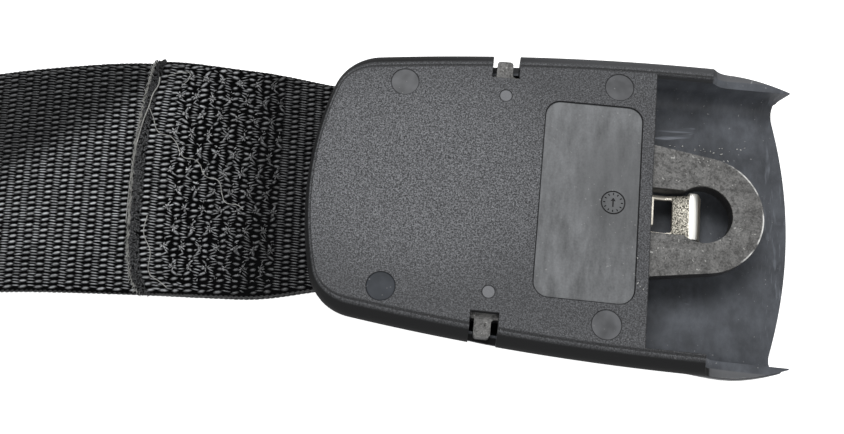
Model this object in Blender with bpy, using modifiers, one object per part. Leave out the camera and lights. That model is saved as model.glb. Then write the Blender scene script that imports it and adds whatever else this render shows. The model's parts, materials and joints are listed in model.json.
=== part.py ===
"""Lower end fitting of a car seat belt, with its cover, anchor plate, latch spring and sewn webbing.

The belt runs along X and the eye of the anchor plate is at +X. The part lies on the cover's front wall,
so the cover's back wall, with its label recess, faces up. All sizes below are in millimetres, heights
are measured up from the surface that the part lies on, and X is measured from the belt's mouth side
until the whole part is centred at the end.
"""
import math

import bmesh
import bpy
from mathutils import Matrix, Vector

MM = 0.001
CLEARANCE = 0.3
OVERSHOOT = 5.0

# Cover
COVER_HEIGHT = 14.0
WALL = 2.0
COVER_LEFT = -32.0
COVER_HALF_WIDTH = 31.9
WIDEST_X = 45.0
SIDE_CURVE = 0.00101
TAPER_X = 50.0
TAPER_CURVE = 0.0127
END_ARC_RADIUS = 70.0
CORNER_RADIUS = 10.5
OPEN_END_X = 66.9
OPEN_END_CURVE = 0.0052
HORN_X = 65.1
HORN_SLANT = (1.8, 6.5)
HORN_EDGE = 0.25
BACK_ROUND = (4.0, 3.2)
BACK_ROUND_END_SHARE = 0.45
FRONT_ROUND = (5.0, 5.6)
FRONT_DRAFT = 1.1
DRAFT_FADE_X = (42.0, 58.0)
MOUTH_DRAFT = 2.0
MOUTH_DRAFT_X = (8.0, -26.0)
CAVITY_HALF_WIDTH = 28.6
CAVITY_FRONT_ROUND = 4.0
CAVITY_BACK_ROUND = 1.0
BACK_WALL_END_X = 36.8
RIM_INNER_Y = 28.2
RIM_STEP_X = 48.2
RIM_STEP_RADIUS = 4.2
RIM_STEP_DROP = 4.5
MOUTH_GAP = 0.9
MOUTH_DEPTH = 9.5

# Marks moulded into the back wall
LABEL_X = (14.5, 34.4)
LABEL_HALF_WIDTH = 20.5
LABEL_RADIUS = 3.2
LABEL_DEPTH = 0.4
DIAL_X = 29.2
DIAL_RADIUS = 2.45
DIAL_GROOVE = (0.25, 0.2)
EJECTOR_MARKS = ((-14.5, 21.5, 2.75, 0.15), (29.2, 24.4, 2.8, 0.15), (6.3, 20.5, 1.35, 0.12))

# Anchor plate
PLATE_THICKNESS = 3.5
NOSE_X = 47.4
NOSE_RADIUS = 12.0
EYE_RADIUS = 5.9
EYE_SLOT_LENGTH = 10.9
FLANK_SLOPE = 0.155
SHOULDER_X = 13.0
SHOULDER_FILLET = 5.0
SHOULDER_RADIUS = 3.0
PLATE_INSIDE_MOUTH = 18.0
PLATE_CORNER_RADIUS = 5.0
BAR_WIDTH = 6.0
BELT_SLOT_LENGTH = 6.5
BELT_SLOT_GAP = 0.4
BELT_SLOT_RADIUS = 1.5
JOGGLE_X = (-5.6, 2.8)
JOGGLE_DROP = 2.1
LUG_X = (4.1, 7.4)
LUG_REACH = 29.0
LUG_WINDOW_GAP = (0.9, 1.3)
WINDOW_INNER_Y = 24.4
PLATE_PAST_WINDOW = 1.1
PLATE_EDGE = 0.35

# Latch spring
SPRING_THICKNESS = 0.7
SPRING_ROOT_X = 21.0
SPRING_PAD_LENGTH = 8.5
SPRING_PAD_HALF_WIDTH = 8.5
SPRING_PAD_CHAMFER = 1.0
SPRING_NECK_CHAMFER = 1.5
SPRING_TONGUE_HALF_WIDTH = 4.3
SPRING_SIDE_GAP = 0.4
SPRING_HEAD_OVERHANG = 0.5
SPRING_HEAD_LENGTH = 1.3
SPRING_RAMP_LENGTH = 5.7
SPRING_CREST_BEFORE_EYE = 1.1
SPRING_CREST_RISE = 1.95
SPRING_TAIL = (1.4, 1.0)
SPRING_BEND = 0.7
SPRING_WINDOW_BEFORE_CREST = (8.6, 4.3)
SPRING_WINDOW_HALF_WIDTH = 3.5
SPRING_WINDOW_RADIUS = 0.6
SPRING_LIP_HEIGHT = 3.3

# Rivets that hold the spring under the plate
RIVET_Y = 5.2
RIVET_SHANK = 1.4
RIVET_HEAD = 2.3
RIVET_HEAD_HEIGHT = 0.8
RIVET_CHAMFER = 0.5
RIVET_SINK = 0.1

# Webbing and its sewing. Its lengths run from the cover's mouth, positive into the cover. Each point of
# its route holds the length, then Y, the height above the middle of the bar, and the roll in degrees.
WEB_WIDTH = 48.0
WEB_LOOP_WIDTH = 42.6
WEB_THICKNESS = 1.2
WEB_NARROWS = (-12.0, 10.0)
WEB_ROUTE = (
    (-76.0, -8.2, 0.45, -6.0),
    (-54.0, -5.3, 2.55, 0.0),
    (-32.0, -3.4, 3.15, 6.5),
    (-10.0, -1.9, 0.75, 1.0),
    (6.0, -0.6, -0.05, 0.0),
)
WEB_PARTS = 10.0
WEB_END = -72.0
FLAP_END = -34.8
FLAP_UPPER_CORNER = (3.0, 2)
FLAP_LOWER_CORNER = (3.3, 6)
FLAP_CORNER_LENGTH = 16.0
WEB_STEP = 2.0
WEB_COLUMNS = 6
THREAD_RADIUS = 0.25
THREAD_ROWS = 11
THREAD_ROW_PITCH = 0.0813 * WEB_WIDTH
THREAD_ZIGZAG = 1.25
THREAD_PITCH = 3.5
SEAM = (-27.5, -6.5)

COLLECTION = "seat_belt_end_fitting"
CUTTERS = "cutters"

PLATE_LEFT = COVER_LEFT + PLATE_INSIDE_MOUTH
PLATE_TOP = COVER_HEIGHT - WALL - CLEARANCE
PLATE_BOTTOM = PLATE_TOP - PLATE_THICKNESS
BAR_RIGHT = PLATE_LEFT + BAR_WIDTH
BELT_SLOT_RIGHT = BAR_RIGHT + BELT_SLOT_LENGTH
BAR_TOP = PLATE_TOP - JOGGLE_DROP
BAR_BOTTOM = BAR_TOP - PLATE_THICKNESS
BAR_MIDDLE = (BAR_TOP + BAR_BOTTOM) / 2
BELT_SLOT_HALF_WIDTH = WEB_LOOP_WIDTH / 2 + BELT_SLOT_GAP
EYE_SLOT_HALF_WIDTH = SPRING_TONGUE_HALF_WIDTH + SPRING_SIDE_GAP
EYE_SLOT_X = NOSE_X - EYE_SLOT_LENGTH
SPRING_TOP = PLATE_BOTTOM - CLEARANCE
SPRING_MID = SPRING_TOP - SPRING_THICKNESS / 2
SPRING_HINGE_X = SPRING_ROOT_X + SPRING_PAD_LENGTH
SPRING_CREST_X = NOSE_X - SPRING_CREST_BEFORE_EYE
SPRING_HEAD_HALF_WIDTH = SPRING_TONGUE_HALF_WIDTH + SPRING_HEAD_OVERHANG
RIVET_X = (SPRING_ROOT_X + SPRING_HINGE_X) / 2
LAYER_LIFT = WEB_THICKNESS + CLEARANCE


def start_scene():
    for obj in list(bpy.data.objects):
        bpy.data.objects.remove(obj, do_unlink=True)
    for name in (COLLECTION, CUTTERS):
        old = bpy.data.collections.get(name)
        if old:
            bpy.data.collections.remove(old)
        bpy.context.scene.collection.children.link(bpy.data.collections.new(name))


def material(name, colour, roughness, metallic=0.0):
    mat = bpy.data.materials.new(name)
    mat.use_nodes = True
    shader = mat.node_tree.nodes["Principled BSDF"]
    shader.inputs["Base Color"].default_value = (*colour, 1.0)
    shader.inputs["Roughness"].default_value = roughness
    shader.inputs["Metallic"].default_value = metallic
    return mat


def add_object(name, data, collection=COLLECTION):
    obj = bpy.data.objects.new(name, data)
    bpy.data.collections[collection].objects.link(obj)
    return obj


def add_cutter(obj):
    bpy.data.collections[CUTTERS].objects.link(obj)
    bpy.data.collections[COLLECTION].objects.unlink(obj)
    obj.hide_render = True
    obj.display_type = "WIRE"
    return obj


def curve_to_mesh(obj):
    """The mesh of a curve object, with its caps welded."""
    bpy.context.view_layer.update()
    evaluated = obj.evaluated_get(bpy.context.evaluated_depsgraph_get())
    mesh = bpy.data.meshes.new_from_object(evaluated)
    bm = bmesh.new()
    bm.from_mesh(mesh)
    bmesh.ops.remove_doubles(bm, verts=bm.verts, dist=1e-6)
    bmesh.ops.recalc_face_normals(bm, faces=bm.faces)
    bm.to_mesh(mesh)
    bm.free()
    name = obj.name
    matrix = obj.matrix_world.copy()
    bpy.data.objects.remove(obj, do_unlink=True)
    result = add_object(name, mesh)
    result.matrix_world = matrix
    return result


def outline_solid(name, loops, z_low, z_high):
    """A flat outline, with its holes, raised from z_low to z_high."""
    curve = bpy.data.curves.new(name, "CURVE")
    curve.dimensions = "2D"
    curve.fill_mode = "BOTH"
    curve.extrude = (z_high - z_low) / 2 * MM
    for loop in loops:
        spline = curve.splines.new("POLY")
        spline.points.add(len(loop) - 1)
        for point, (x, y) in zip(spline.points, loop):
            point.co = (x * MM, y * MM, 0, 1)
        spline.use_cyclic_u = True
    obj = add_object(name, curve)
    obj.location.z = (z_high + z_low) / 2 * MM
    return curve_to_mesh(obj)


def side_solid(name, profile, y_low, y_high):
    """A side view in X and Z, raised from y_low to y_high."""
    solid = outline_solid(name, [profile], -y_high, -y_low)
    solid.data.transform(Matrix.Rotation(math.radians(90), 4, "X") @ solid.matrix_world)
    solid.matrix_world = Matrix.Identity(4)
    return solid


def box(name, x_range, y_range, z_range):
    bm = bmesh.new()
    bmesh.ops.create_cube(bm, size=1)
    size = [(high - low) * MM for low, high in (x_range, y_range, z_range)]
    centre = [(high + low) / 2 * MM for low, high in (x_range, y_range, z_range)]
    bmesh.ops.scale(bm, vec=size, verts=bm.verts)
    bmesh.ops.translate(bm, vec=centre, verts=bm.verts)
    mesh = bpy.data.meshes.new(name)
    bm.to_mesh(mesh)
    bm.free()
    return add_object(name, mesh)


def stacked_solid(name, rings):
    """A closed solid lofted through rings of equal count, each a list of points in millimetres."""
    bm = bmesh.new()
    rows = [[bm.verts.new(Vector(p) * MM) for p in ring] for ring in rings]
    count = len(rings[0])
    for low, high in zip(rows, rows[1:]):
        for i in range(count):
            j = (i + 1) % count
            bm.faces.new((low[i], low[j], high[j], high[i]))
    bm.faces.new(reversed(rows[0]))
    bm.faces.new(rows[-1])
    bmesh.ops.recalc_face_normals(bm, faces=bm.faces)
    walls = [f for f in bm.faces if len(f.verts) == 4]
    bmesh.ops.triangulate(bm, faces=walls)
    mesh = bpy.data.meshes.new(name)
    bm.to_mesh(mesh)
    bm.free()
    return add_object(name, mesh)


def boolean(obj, other, operation="DIFFERENCE"):
    mod = obj.modifiers.new(other.name, "BOOLEAN")
    mod.object = other
    mod.operation = operation
    mod.solver = "EXACT"


def smooth_sides(obj, angle_deg=35):
    obj.data.shade_smooth()
    obj.data.set_sharp_from_angle(angle=math.radians(angle_deg))


def arc(centre, radius, start_deg, end_deg, steps):
    points = []
    for i in range(steps + 1):
        a = math.radians(start_deg + (end_deg - start_deg) * i / steps)
        points.append((centre[0] + radius * math.cos(a), centre[1] + radius * math.sin(a)))
    return points


def circle(centre, radius, steps=32):
    return arc(centre, radius, 0, 360 * (1 - 1 / steps), steps - 1)


def rounded_rectangle(x_range, half_width, radius, steps=6):
    x0, x1 = x_range
    inner = half_width - radius
    corners = (((x1 - radius, inner), 0), ((x0 + radius, inner), 90),
               ((x0 + radius, -inner), 180), ((x1 - radius, -inner), 270))
    return [p for centre, start in corners for p in arc(centre, radius, start, start + 90, steps)]


def rounded_path(points, radius, steps=5):
    """A polyline whose inner corners are replaced by arcs of one radius."""
    path = [Vector(points[0])]
    for before, corner, after in zip(points, points[1:], points[2:]):
        corner = Vector(corner)
        back = (Vector(before) - corner).normalized()
        ahead = (Vector(after) - corner).normalized()
        half_angle = back.angle(ahead) / 2
        centre = corner + (back + ahead).normalized() * radius / math.sin(half_angle)
        reach = radius / math.tan(half_angle)
        first = corner + back * reach - centre
        last = corner + ahead * reach - centre
        path += [centre + first.slerp(last, i / steps) for i in range(steps + 1)]
    path.append(Vector(points[-1]))
    return path


def smoothstep(low, high, value):
    t = max(0.0, min(1.0, (value - low) / (high - low)))
    return t * t * (3 - 2 * t)


def cover_half_width(x, tapered=True):
    rise = SIDE_CURVE * max(0.0, WIDEST_X - x) ** 2
    taper = TAPER_CURVE * max(0.0, x - TAPER_X) ** 2
    return COVER_HALF_WIDTH - rise - (taper if tapered else 0)


def corner_centre():
    """Centre of the arc that joins the curved left end to the curved side."""
    x = COVER_LEFT + CORNER_RADIUS
    for _ in range(20):
        slope = 2 * SIDE_CURVE * (WIDEST_X - x)
        y = cover_half_width(x) - CORNER_RADIUS * math.hypot(1, slope)
        x = COVER_LEFT + END_ARC_RADIUS - math.sqrt((END_ARC_RADIUS - CORNER_RADIUS) ** 2 - y ** 2)
    return x, y


def cover_plan(right_x, tapered=True, side_steps=16, corner_steps=8, end_steps=10):
    """Points around the cover seen from above, each with its outward direction."""
    cx, cy = corner_centre()
    side_angle = math.degrees(math.atan(2 * SIDE_CURVE * (WIDEST_X - cx)))
    end_angle = math.degrees(math.asin(cy / (END_ARC_RADIUS - CORNER_RADIUS)))
    corner = arc((cx, cy), CORNER_RADIUS, 90 + side_angle, 180 - end_angle, corner_steps)
    start_x = corner[0][0]
    side = []
    for i in range(side_steps):
        x = right_x + (start_x - right_x) * i / side_steps
        side.append((x, cover_half_width(min(x, OPEN_END_X), tapered)))
    end = arc((COVER_LEFT + END_ARC_RADIUS, 0), END_ARC_RADIUS, 180 - end_angle, 180, end_steps // 2)
    half = side + corner + end[1:]
    points = [Vector(p) for p in half + [(x, -y) for x, y in reversed(half[:-1])]]
    normals = []
    for i, p in enumerate(points):
        before = points[i - 1] if i else p
        after = points[i + 1] if i + 1 < len(points) else p
        along = (after - before).normalized()
        normals.append(Vector((along.y, -along.x)))
    return points, normals


def front_draft(x):
    """How far the front shell leans in at x: most at the belt's mouth, and not at all at the open end."""
    at_side = FRONT_DRAFT * (1 - smoothstep(*DRAFT_FADE_X, x))
    at_mouth = MOUTH_DRAFT * (1 - smoothstep(MOUTH_DRAFT_X[1], MOUTH_DRAFT_X[0], x))
    return at_side + at_mouth


def inset_ring(plan, inset, z, end_share=1.0, limit=None, drafted=False):
    """The plan moved inwards by inset, less so where it faces along X when end_share is below 1."""
    ring = []
    for p, n in zip(*plan):
        share = 1 - (1 - end_share) * n.x ** 2
        q = p - n * (inset * share + (front_draft(p.x) if drafted else 0))
        y = q.y if limit is None else max(-limit, min(limit, q.y))
        ring.append((q.x, y, z))
    return ring


def quarter(depth, height, steps=5):
    """Inset and drop along a quarter ellipse, from the flat face to the wall."""
    angles = [math.pi / 2 * i / steps for i in range(steps + 1)]
    return [(depth * (1 - math.sin(a)), height * (1 - math.cos(a))) for a in angles]


def cover_outer():
    plan = cover_plan(OPEN_END_X + OVERSHOOT)
    rings = []
    for inset, drop in quarter(*BACK_ROUND):
        rings.append(inset_ring(plan, inset, COVER_HEIGHT - drop, BACK_ROUND_END_SHARE))
    for inset, drop in reversed(quarter(*FRONT_ROUND)):
        rings.append(inset_ring(plan, inset, drop, drafted=True))
    return stacked_solid("cover_sleeve", rings)


def cover_cavity():
    plan = cover_plan(OPEN_END_X + 2 * OVERSHOOT, tapered=False)
    rings = []
    for inset, drop in quarter(CAVITY_BACK_ROUND, CAVITY_BACK_ROUND, 2):
        limit = CAVITY_HALF_WIDTH - inset
        rings.append(inset_ring(plan, WALL + inset, COVER_HEIGHT - WALL - drop, limit=limit))
    for inset, drop in reversed(quarter(CAVITY_FRONT_ROUND, CAVITY_FRONT_ROUND, 4)):
        limit = CAVITY_HALF_WIDTH - inset
        rings.append(inset_ring(plan, WALL + inset, WALL + drop, limit=limit, drafted=True))
    return add_cutter(stacked_solid("cavity", rings))


def open_end_cutters():
    """Everything beyond the open end: the front wall's edge bows out, and each side wall ends in a horn."""
    steps = 16
    horn_y = CAVITY_HALF_WIDTH - HORN_EDGE
    horn_foot = HORN_X - HORN_SLANT[0]
    edge = []
    for i in range(steps + 1):
        y = -horn_y + 2 * horn_y * i / steps
        edge.append((max(horn_foot, OPEN_END_X - OPEN_END_CURVE * y ** 2), y))
    far_x = OPEN_END_X + 3 * OVERSHOOT
    far_y = COVER_HALF_WIDTH + OVERSHOOT
    edge += [(HORN_X, horn_y), (HORN_X, far_y), (far_x, far_y)]
    edge += [(far_x, -far_y), (HORN_X, -far_y), (HORN_X, -horn_y)]
    cutters = [outline_solid("open_end", [edge], -OVERSHOOT, COVER_HEIGHT + OVERSHOOT)]
    horn_top = COVER_HEIGHT - RIM_STEP_DROP
    slant = [(HORN_X, horn_top), (horn_foot, horn_top - HORN_SLANT[1]), (horn_foot, -OVERSHOOT),
             (far_x, -OVERSHOOT), (far_x, horn_top)]
    for side in (-1, 1):
        y_range = sorted((side * (horn_y - 1), side * far_y))
        cutters.append(side_solid(f"horn_{'upper' if side > 0 else 'lower'}", slant, *y_range))
    return [add_cutter(c) for c in cutters]


def rim_step_cutter():
    """Lowers the side walls beyond the rim, through a hollow curve."""
    low = COVER_HEIGHT - RIM_STEP_DROP
    centre = (RIM_STEP_X + RIM_STEP_RADIUS, low + RIM_STEP_RADIUS)
    profile = arc(centre, RIM_STEP_RADIUS, 180, 270, 8)
    far_x = OPEN_END_X + OVERSHOOT
    top = COVER_HEIGHT + OVERSHOOT
    profile += [(far_x, low), (far_x, top), (RIM_STEP_X, top)]
    reach = COVER_HALF_WIDTH + OVERSHOOT
    return add_cutter(side_solid("rim_step", profile, -reach, reach))


def window_cutter(side):
    x_range = (LUG_X[0] - LUG_WINDOW_GAP[0], LUG_X[1] + LUG_WINDOW_GAP[1])
    y_range = sorted((side * WINDOW_INNER_Y, side * (COVER_HALF_WIDTH + OVERSHOOT)))
    z_range = (PLATE_BOTTOM - CLEARANCE, COVER_HEIGHT + OVERSHOOT)
    return add_cutter(box(f"window_{'upper' if side > 0 else 'lower'}", x_range, y_range, z_range))


def mark_cutters():
    top = COVER_HEIGHT + OVERSHOOT
    floor = COVER_HEIGHT - LABEL_DEPTH
    label = rounded_rectangle(LABEL_X, LABEL_HALF_WIDTH, LABEL_RADIUS)
    cutters = [outline_solid("label_recess", [label], floor, top)]
    dial = [circle((DIAL_X, 0), DIAL_RADIUS), circle((DIAL_X, 0), DIAL_RADIUS - DIAL_GROOVE[0])]
    cutters.append(outline_solid("dial_groove", dial, floor - DIAL_GROOVE[1], floor + LABEL_DEPTH / 2))
    for index, (x, y, radius, depth) in enumerate(EJECTOR_MARKS):
        for side in (-1, 1):
            disc = circle((x, side * y), radius, 24)
            cutters.append(outline_solid(f"mark_{index}_{side}", [disc], COVER_HEIGHT - depth, top))
    return [add_cutter(c) for c in cutters]


def mouth_cutter():
    """The slot in the left end that both layers of the belt pass through."""
    layer = route_point(COVER_LEFT)[1]
    reach = WEB_THICKNESS / 2 + MOUTH_GAP
    half_width = WEB_WIDTH / 2 + MOUTH_GAP
    x_range = (COVER_LEFT - OVERSHOOT, COVER_LEFT + MOUTH_DEPTH)
    z_range = (layer - reach, layer + LAYER_LIFT + reach)
    return add_cutter(box("mouth", x_range, (-half_width, half_width), z_range))


def build_cover():
    cover = cover_outer()
    boolean(cover, cover_cavity())
    for cutter in open_end_cutters():
        boolean(cover, cutter)
    far_x = OPEN_END_X + OVERSHOOT
    opening_z = (COVER_HEIGHT - WALL - CAVITY_BACK_ROUND, COVER_HEIGHT + OVERSHOOT)
    opening = box("back_opening", (BACK_WALL_END_X, far_x), (-RIM_INNER_Y, RIM_INNER_Y), opening_z)
    boolean(cover, add_cutter(opening))
    boolean(cover, rim_step_cutter())
    boolean(cover, mouth_cutter())
    for side in (-1, 1):
        boolean(cover, window_cutter(side))
    for cutter in mark_cutters():
        boolean(cover, cutter)
    cover.data.materials.append(material("moulded_black_tpu", (0.075, 0.08, 0.085), 0.55))
    smooth_sides(cover)
    return cover


def plate_outline():
    flank_angle = 90 - math.degrees(math.atan(FLANK_SLOPE))
    nose = arc((NOSE_X, 0), NOSE_RADIUS, 0, flank_angle, 14)
    tangent_x, tangent_y = nose[-1]
    fillet_x = SHOULDER_X + SHOULDER_FILLET
    fillet_y = tangent_y + FLANK_SLOPE * (tangent_x - fillet_x)
    hollow = arc((fillet_x, fillet_y + SHOULDER_FILLET), SHOULDER_FILLET, 270, 180, 6)
    half_width = WINDOW_INNER_Y + PLATE_PAST_WINDOW
    shoulder_centre = (SHOULDER_X - SHOULDER_RADIUS, half_width - SHOULDER_RADIUS)
    shoulder = arc(shoulder_centre, SHOULDER_RADIUS, 0, 90, 5)
    lug = [(LUG_X[1], half_width), (LUG_X[1], LUG_REACH), (LUG_X[0], LUG_REACH), (LUG_X[0], half_width)]
    corner_x = PLATE_LEFT + PLATE_CORNER_RADIUS
    corner_reach = min(half_width, cavity_half_width(corner_x, BAR_BOTTOM) - CLEARANCE)
    corner_y = corner_reach - PLATE_CORNER_RADIUS
    corner = arc((corner_x, corner_y), PLATE_CORNER_RADIUS, 90, 180, 6)
    half = nose + hollow + shoulder + lug + corner
    return half + [(x, -y) for x, y in reversed(half[1:])]


def cavity_half_width(x, z):
    """Half the width of the cover's inside at x and at a height between its rounded edges."""
    back = COVER_HEIGHT - WALL - CAVITY_BACK_ROUND
    front = WALL + CAVITY_FRONT_ROUND
    lean = front_draft(x) * (back - z) / (back - front)
    return min(CAVITY_HALF_WIDTH, cover_half_width(x) - WALL - lean)


def eye_outline():
    junction = 180 - math.degrees(math.asin(EYE_SLOT_HALF_WIDTH / EYE_RADIUS))
    round_end = arc((NOSE_X, 0), EYE_RADIUS, -junction, junction, 28)
    return round_end + arc((EYE_SLOT_X, 0), EYE_SLOT_HALF_WIDTH, 90, 270, 12)


def build_plate():
    """A flat plate bent down at the belt's bar, cut to its outline."""
    high_x, low_x = JOGGLE_X[1], JOGGLE_X[0]
    right_x = NOSE_X + NOSE_RADIUS + OVERSHOOT
    left_x = PLATE_LEFT - OVERSHOOT
    top = [(right_x, PLATE_TOP), (high_x, PLATE_TOP), (low_x, BAR_TOP), (left_x, BAR_TOP)]
    bottom = [(x, z - PLATE_THICKNESS) for x, z in reversed(top)]
    reach = COVER_HALF_WIDTH + OVERSHOOT
    plate = side_solid("anchor_plate", top + bottom, -reach, reach)
    slot = rounded_rectangle((BAR_RIGHT, BELT_SLOT_RIGHT), BELT_SLOT_HALF_WIDTH, BELT_SLOT_RADIUS, 4)
    loops = [plate_outline(), eye_outline(), slot]
    plan = outline_solid("plate_plan", loops, -OVERSHOOT, COVER_HEIGHT + OVERSHOOT)
    boolean(plate, add_cutter(plan), "INTERSECT")
    for side in (-1, 1):
        for cutter in rivet_hole_cutters(side):
            boolean(plate, cutter)
    bevel = plate.modifiers.new("edge", "BEVEL")
    bevel.width = PLATE_EDGE * MM
    bevel.segments = 2
    bevel.limit_method = "ANGLE"
    bevel.angle_limit = math.radians(50)
    plate.data.materials.append(material("dark_steel", (0.09, 0.088, 0.08), 0.45, 0.9))
    smooth_sides(plate)
    return plate


def rivet_hole_cutters(side):
    name = "upper" if side > 0 else "lower"
    centre = (RIVET_X, side * RIVET_Y)
    hole = circle(centre, RIVET_SHANK + CLEARANCE, 24)
    through = outline_solid(f"rivet_hole_{name}", [hole], 0, COVER_HEIGHT)
    sink = circle(centre, RIVET_HEAD + CLEARANCE, 24)
    floor = PLATE_TOP - RIVET_HEAD_HEIGHT - CLEARANCE
    recess = outline_solid(f"rivet_recess_{name}", [sink], floor, COVER_HEIGHT)
    return [add_cutter(through), add_cutter(recess)]


def spring_plan():
    pad_x = SPRING_HINGE_X
    head_x = SPRING_CREST_X - SPRING_HEAD_LENGTH
    half = [
        (SPRING_CREST_X + OVERSHOOT, SPRING_HEAD_HALF_WIDTH),
        (head_x, SPRING_HEAD_HALF_WIDTH),
        (head_x - SPRING_HEAD_OVERHANG, SPRING_TONGUE_HALF_WIDTH),
        (pad_x + SPRING_NECK_CHAMFER, SPRING_TONGUE_HALF_WIDTH),
        (pad_x, SPRING_TONGUE_HALF_WIDTH + SPRING_NECK_CHAMFER),
        (pad_x, SPRING_PAD_HALF_WIDTH - SPRING_PAD_CHAMFER),
        (pad_x - SPRING_PAD_CHAMFER, SPRING_PAD_HALF_WIDTH),
        (SPRING_ROOT_X - OVERSHOOT, SPRING_PAD_HALF_WIDTH),
    ]
    return half + [(x, -y) for x, y in reversed(half)]


def spring_profile():
    """Side view of the strip's middle: flat, then a ramp to the crest and a turned-down tail."""
    points = [
        (SPRING_ROOT_X, SPRING_MID),
        (SPRING_CREST_X - SPRING_RAMP_LENGTH, SPRING_MID),
        (SPRING_CREST_X, SPRING_MID + SPRING_CREST_RISE),
        (SPRING_CREST_X + SPRING_TAIL[0], SPRING_MID - SPRING_TAIL[1]),
    ]
    return rounded_path(points, SPRING_BEND)


def build_spring():
    profile = spring_profile()
    bm = bmesh.new()
    half = SPRING_PAD_HALF_WIDTH + OVERSHOOT
    rows = [[bm.verts.new(Vector((p.x, y, p.y)) * MM) for y in (-half, half)] for p in profile]
    for (a, b), (c, d) in zip(rows, rows[1:]):
        bm.faces.new((a, c, d, b))
    strip_mesh = bpy.data.meshes.new("latch_spring")
    bm.to_mesh(strip_mesh)
    bm.free()
    spring = add_object("latch_spring", strip_mesh)
    thicken = spring.modifiers.new("sheet", "SOLIDIFY")
    thicken.thickness = SPRING_THICKNESS * MM
    thicken.offset = 0
    thicken.use_even_offset = True
    window_x = [SPRING_CREST_X - length for length in SPRING_WINDOW_BEFORE_CREST]
    window = rounded_rectangle(window_x, SPRING_WINDOW_HALF_WIDTH, SPRING_WINDOW_RADIUS, 3)
    plan = outline_solid("spring_plan", [spring_plan(), window], 0, COVER_HEIGHT)
    boolean(spring, add_cutter(plan), "INTERSECT")
    for side in (-1, 1):
        boolean(spring, bpy.data.objects[f"rivet_hole_{'upper' if side > 0 else 'lower'}"])
    lip_x = (window_x[0] - SPRING_THICKNESS, window_x[0])
    lip_y = SPRING_WINDOW_HALF_WIDTH - SPRING_WINDOW_RADIUS
    lip_z = (SPRING_MID, SPRING_MID + SPRING_LIP_HEIGHT)
    boolean(spring, add_cutter(box("spring_lip", lip_x, (-lip_y, lip_y), lip_z)), "UNION")
    spring.data.materials.append(material("nickel_spring", (0.62, 0.58, 0.5), 0.3, 1.0))
    put_on_hinge(spring)
    return spring


def put_on_hinge(spring):
    """Parents the spring to an empty on the line that its tongue bends about."""
    pivot = add_object("latch_pivot", None)
    pivot.location = (SPRING_HINGE_X * MM, 0, SPRING_MID * MM)
    bpy.context.view_layer.update()
    spring.parent = pivot
    spring.matrix_parent_inverse = pivot.matrix_world.inverted()


def build_rivet(side):
    """A turned rivet: a head under the spring, a shank, and a head sunk in the plate."""
    low_head_top = SPRING_TOP - SPRING_THICKNESS - CLEARANCE
    high_head_top = PLATE_TOP - RIVET_SINK
    outer = [
        (0, high_head_top),
        (RIVET_HEAD, high_head_top),
        (RIVET_HEAD, PLATE_TOP - RIVET_HEAD_HEIGHT),
        (RIVET_SHANK, PLATE_TOP - RIVET_HEAD_HEIGHT),
        (RIVET_SHANK, low_head_top),
        (RIVET_HEAD, low_head_top),
        (RIVET_HEAD - RIVET_CHAMFER, low_head_top - RIVET_HEAD_HEIGHT),
        (0, low_head_top - RIVET_HEAD_HEIGHT),
    ]
    name = f"spring_rivet_{'upper' if side > 0 else 'lower'}"
    mesh = bpy.data.meshes.new(name)
    verts = [(r * MM, 0, z * MM) for r, z in outer]
    mesh.from_pydata(verts, [(i, i + 1) for i in range(len(verts) - 1)], [])
    rivet = add_object(name, mesh)
    rivet.location = (RIVET_X * MM, side * RIVET_Y * MM, 0)
    screw = rivet.modifiers.new("turn", "SCREW")
    screw.steps = 24
    screw.render_steps = 24
    screw.use_merge_vertices = True
    screw.merge_threshold = 1e-6
    rivet.data.materials.append(bpy.data.materials.get("rivet_steel") or
                                material("rivet_steel", (0.35, 0.34, 0.32), 0.35, 1.0))
    return rivet


def route_point(x):
    """Y, Z and roll of the belt's lower layer at x, from a smooth curve through the route's points."""
    route = [(COVER_LEFT + length, y, BAR_MIDDLE + height, roll) for length, y, height, roll in WEB_ROUTE]
    if x >= route[-1][0]:
        return route[-1][1] * (1 - smoothstep(route[-1][0], PLATE_LEFT, x)), *route[-1][2:]
    index = max(i for i in range(len(route) - 1) if route[i][0] <= x or i == 0)
    before = route[max(0, index - 1)]
    low, high = route[index], route[index + 1]
    after = route[min(len(route) - 1, index + 2)]
    span = high[0] - low[0]
    t = (x - low[0]) / span
    values = []
    for axis in (1, 2, 3):
        slope_low = (high[axis] - before[axis]) / (high[0] - before[0]) * span
        slope_high = (after[axis] - low[axis]) / (after[0] - low[0]) * span
        values.append((2 * t ** 3 - 3 * t ** 2 + 1) * low[axis] + (t ** 3 - 2 * t ** 2 + t) * slope_low
                      + (3 * t ** 2 - 2 * t ** 3) * high[axis] + (t ** 3 - t ** 2) * slope_high)
    return tuple(values)


def layer_height(x, upper):
    """Height of a layer's middle: apart over and under the bar, together beyond the cover's mouth."""
    together = route_point(x)[1] + (LAYER_LIFT if upper else 0)
    if upper:
        apart = BAR_TOP + CLEARANCE + WEB_THICKNESS / 2
    else:
        apart = BAR_BOTTOM - CLEARANCE - WEB_THICKNESS / 2
    share = smoothstep(COVER_LEFT + WEB_PARTS, PLATE_LEFT, x)
    return together + (apart - together) * share


def across(x):
    """Direction across the belt at x, seen from above and rolled a little about the belt."""
    step = 0.5
    slope = (route_point(x + step)[0] - route_point(x - step)[0]) / (2 * step)
    direction = Vector((-slope, 1, 0)).normalized()
    roll = math.radians(route_point(x)[2])
    return direction * math.cos(roll) + Vector((0, 0, math.sin(roll)))


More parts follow.
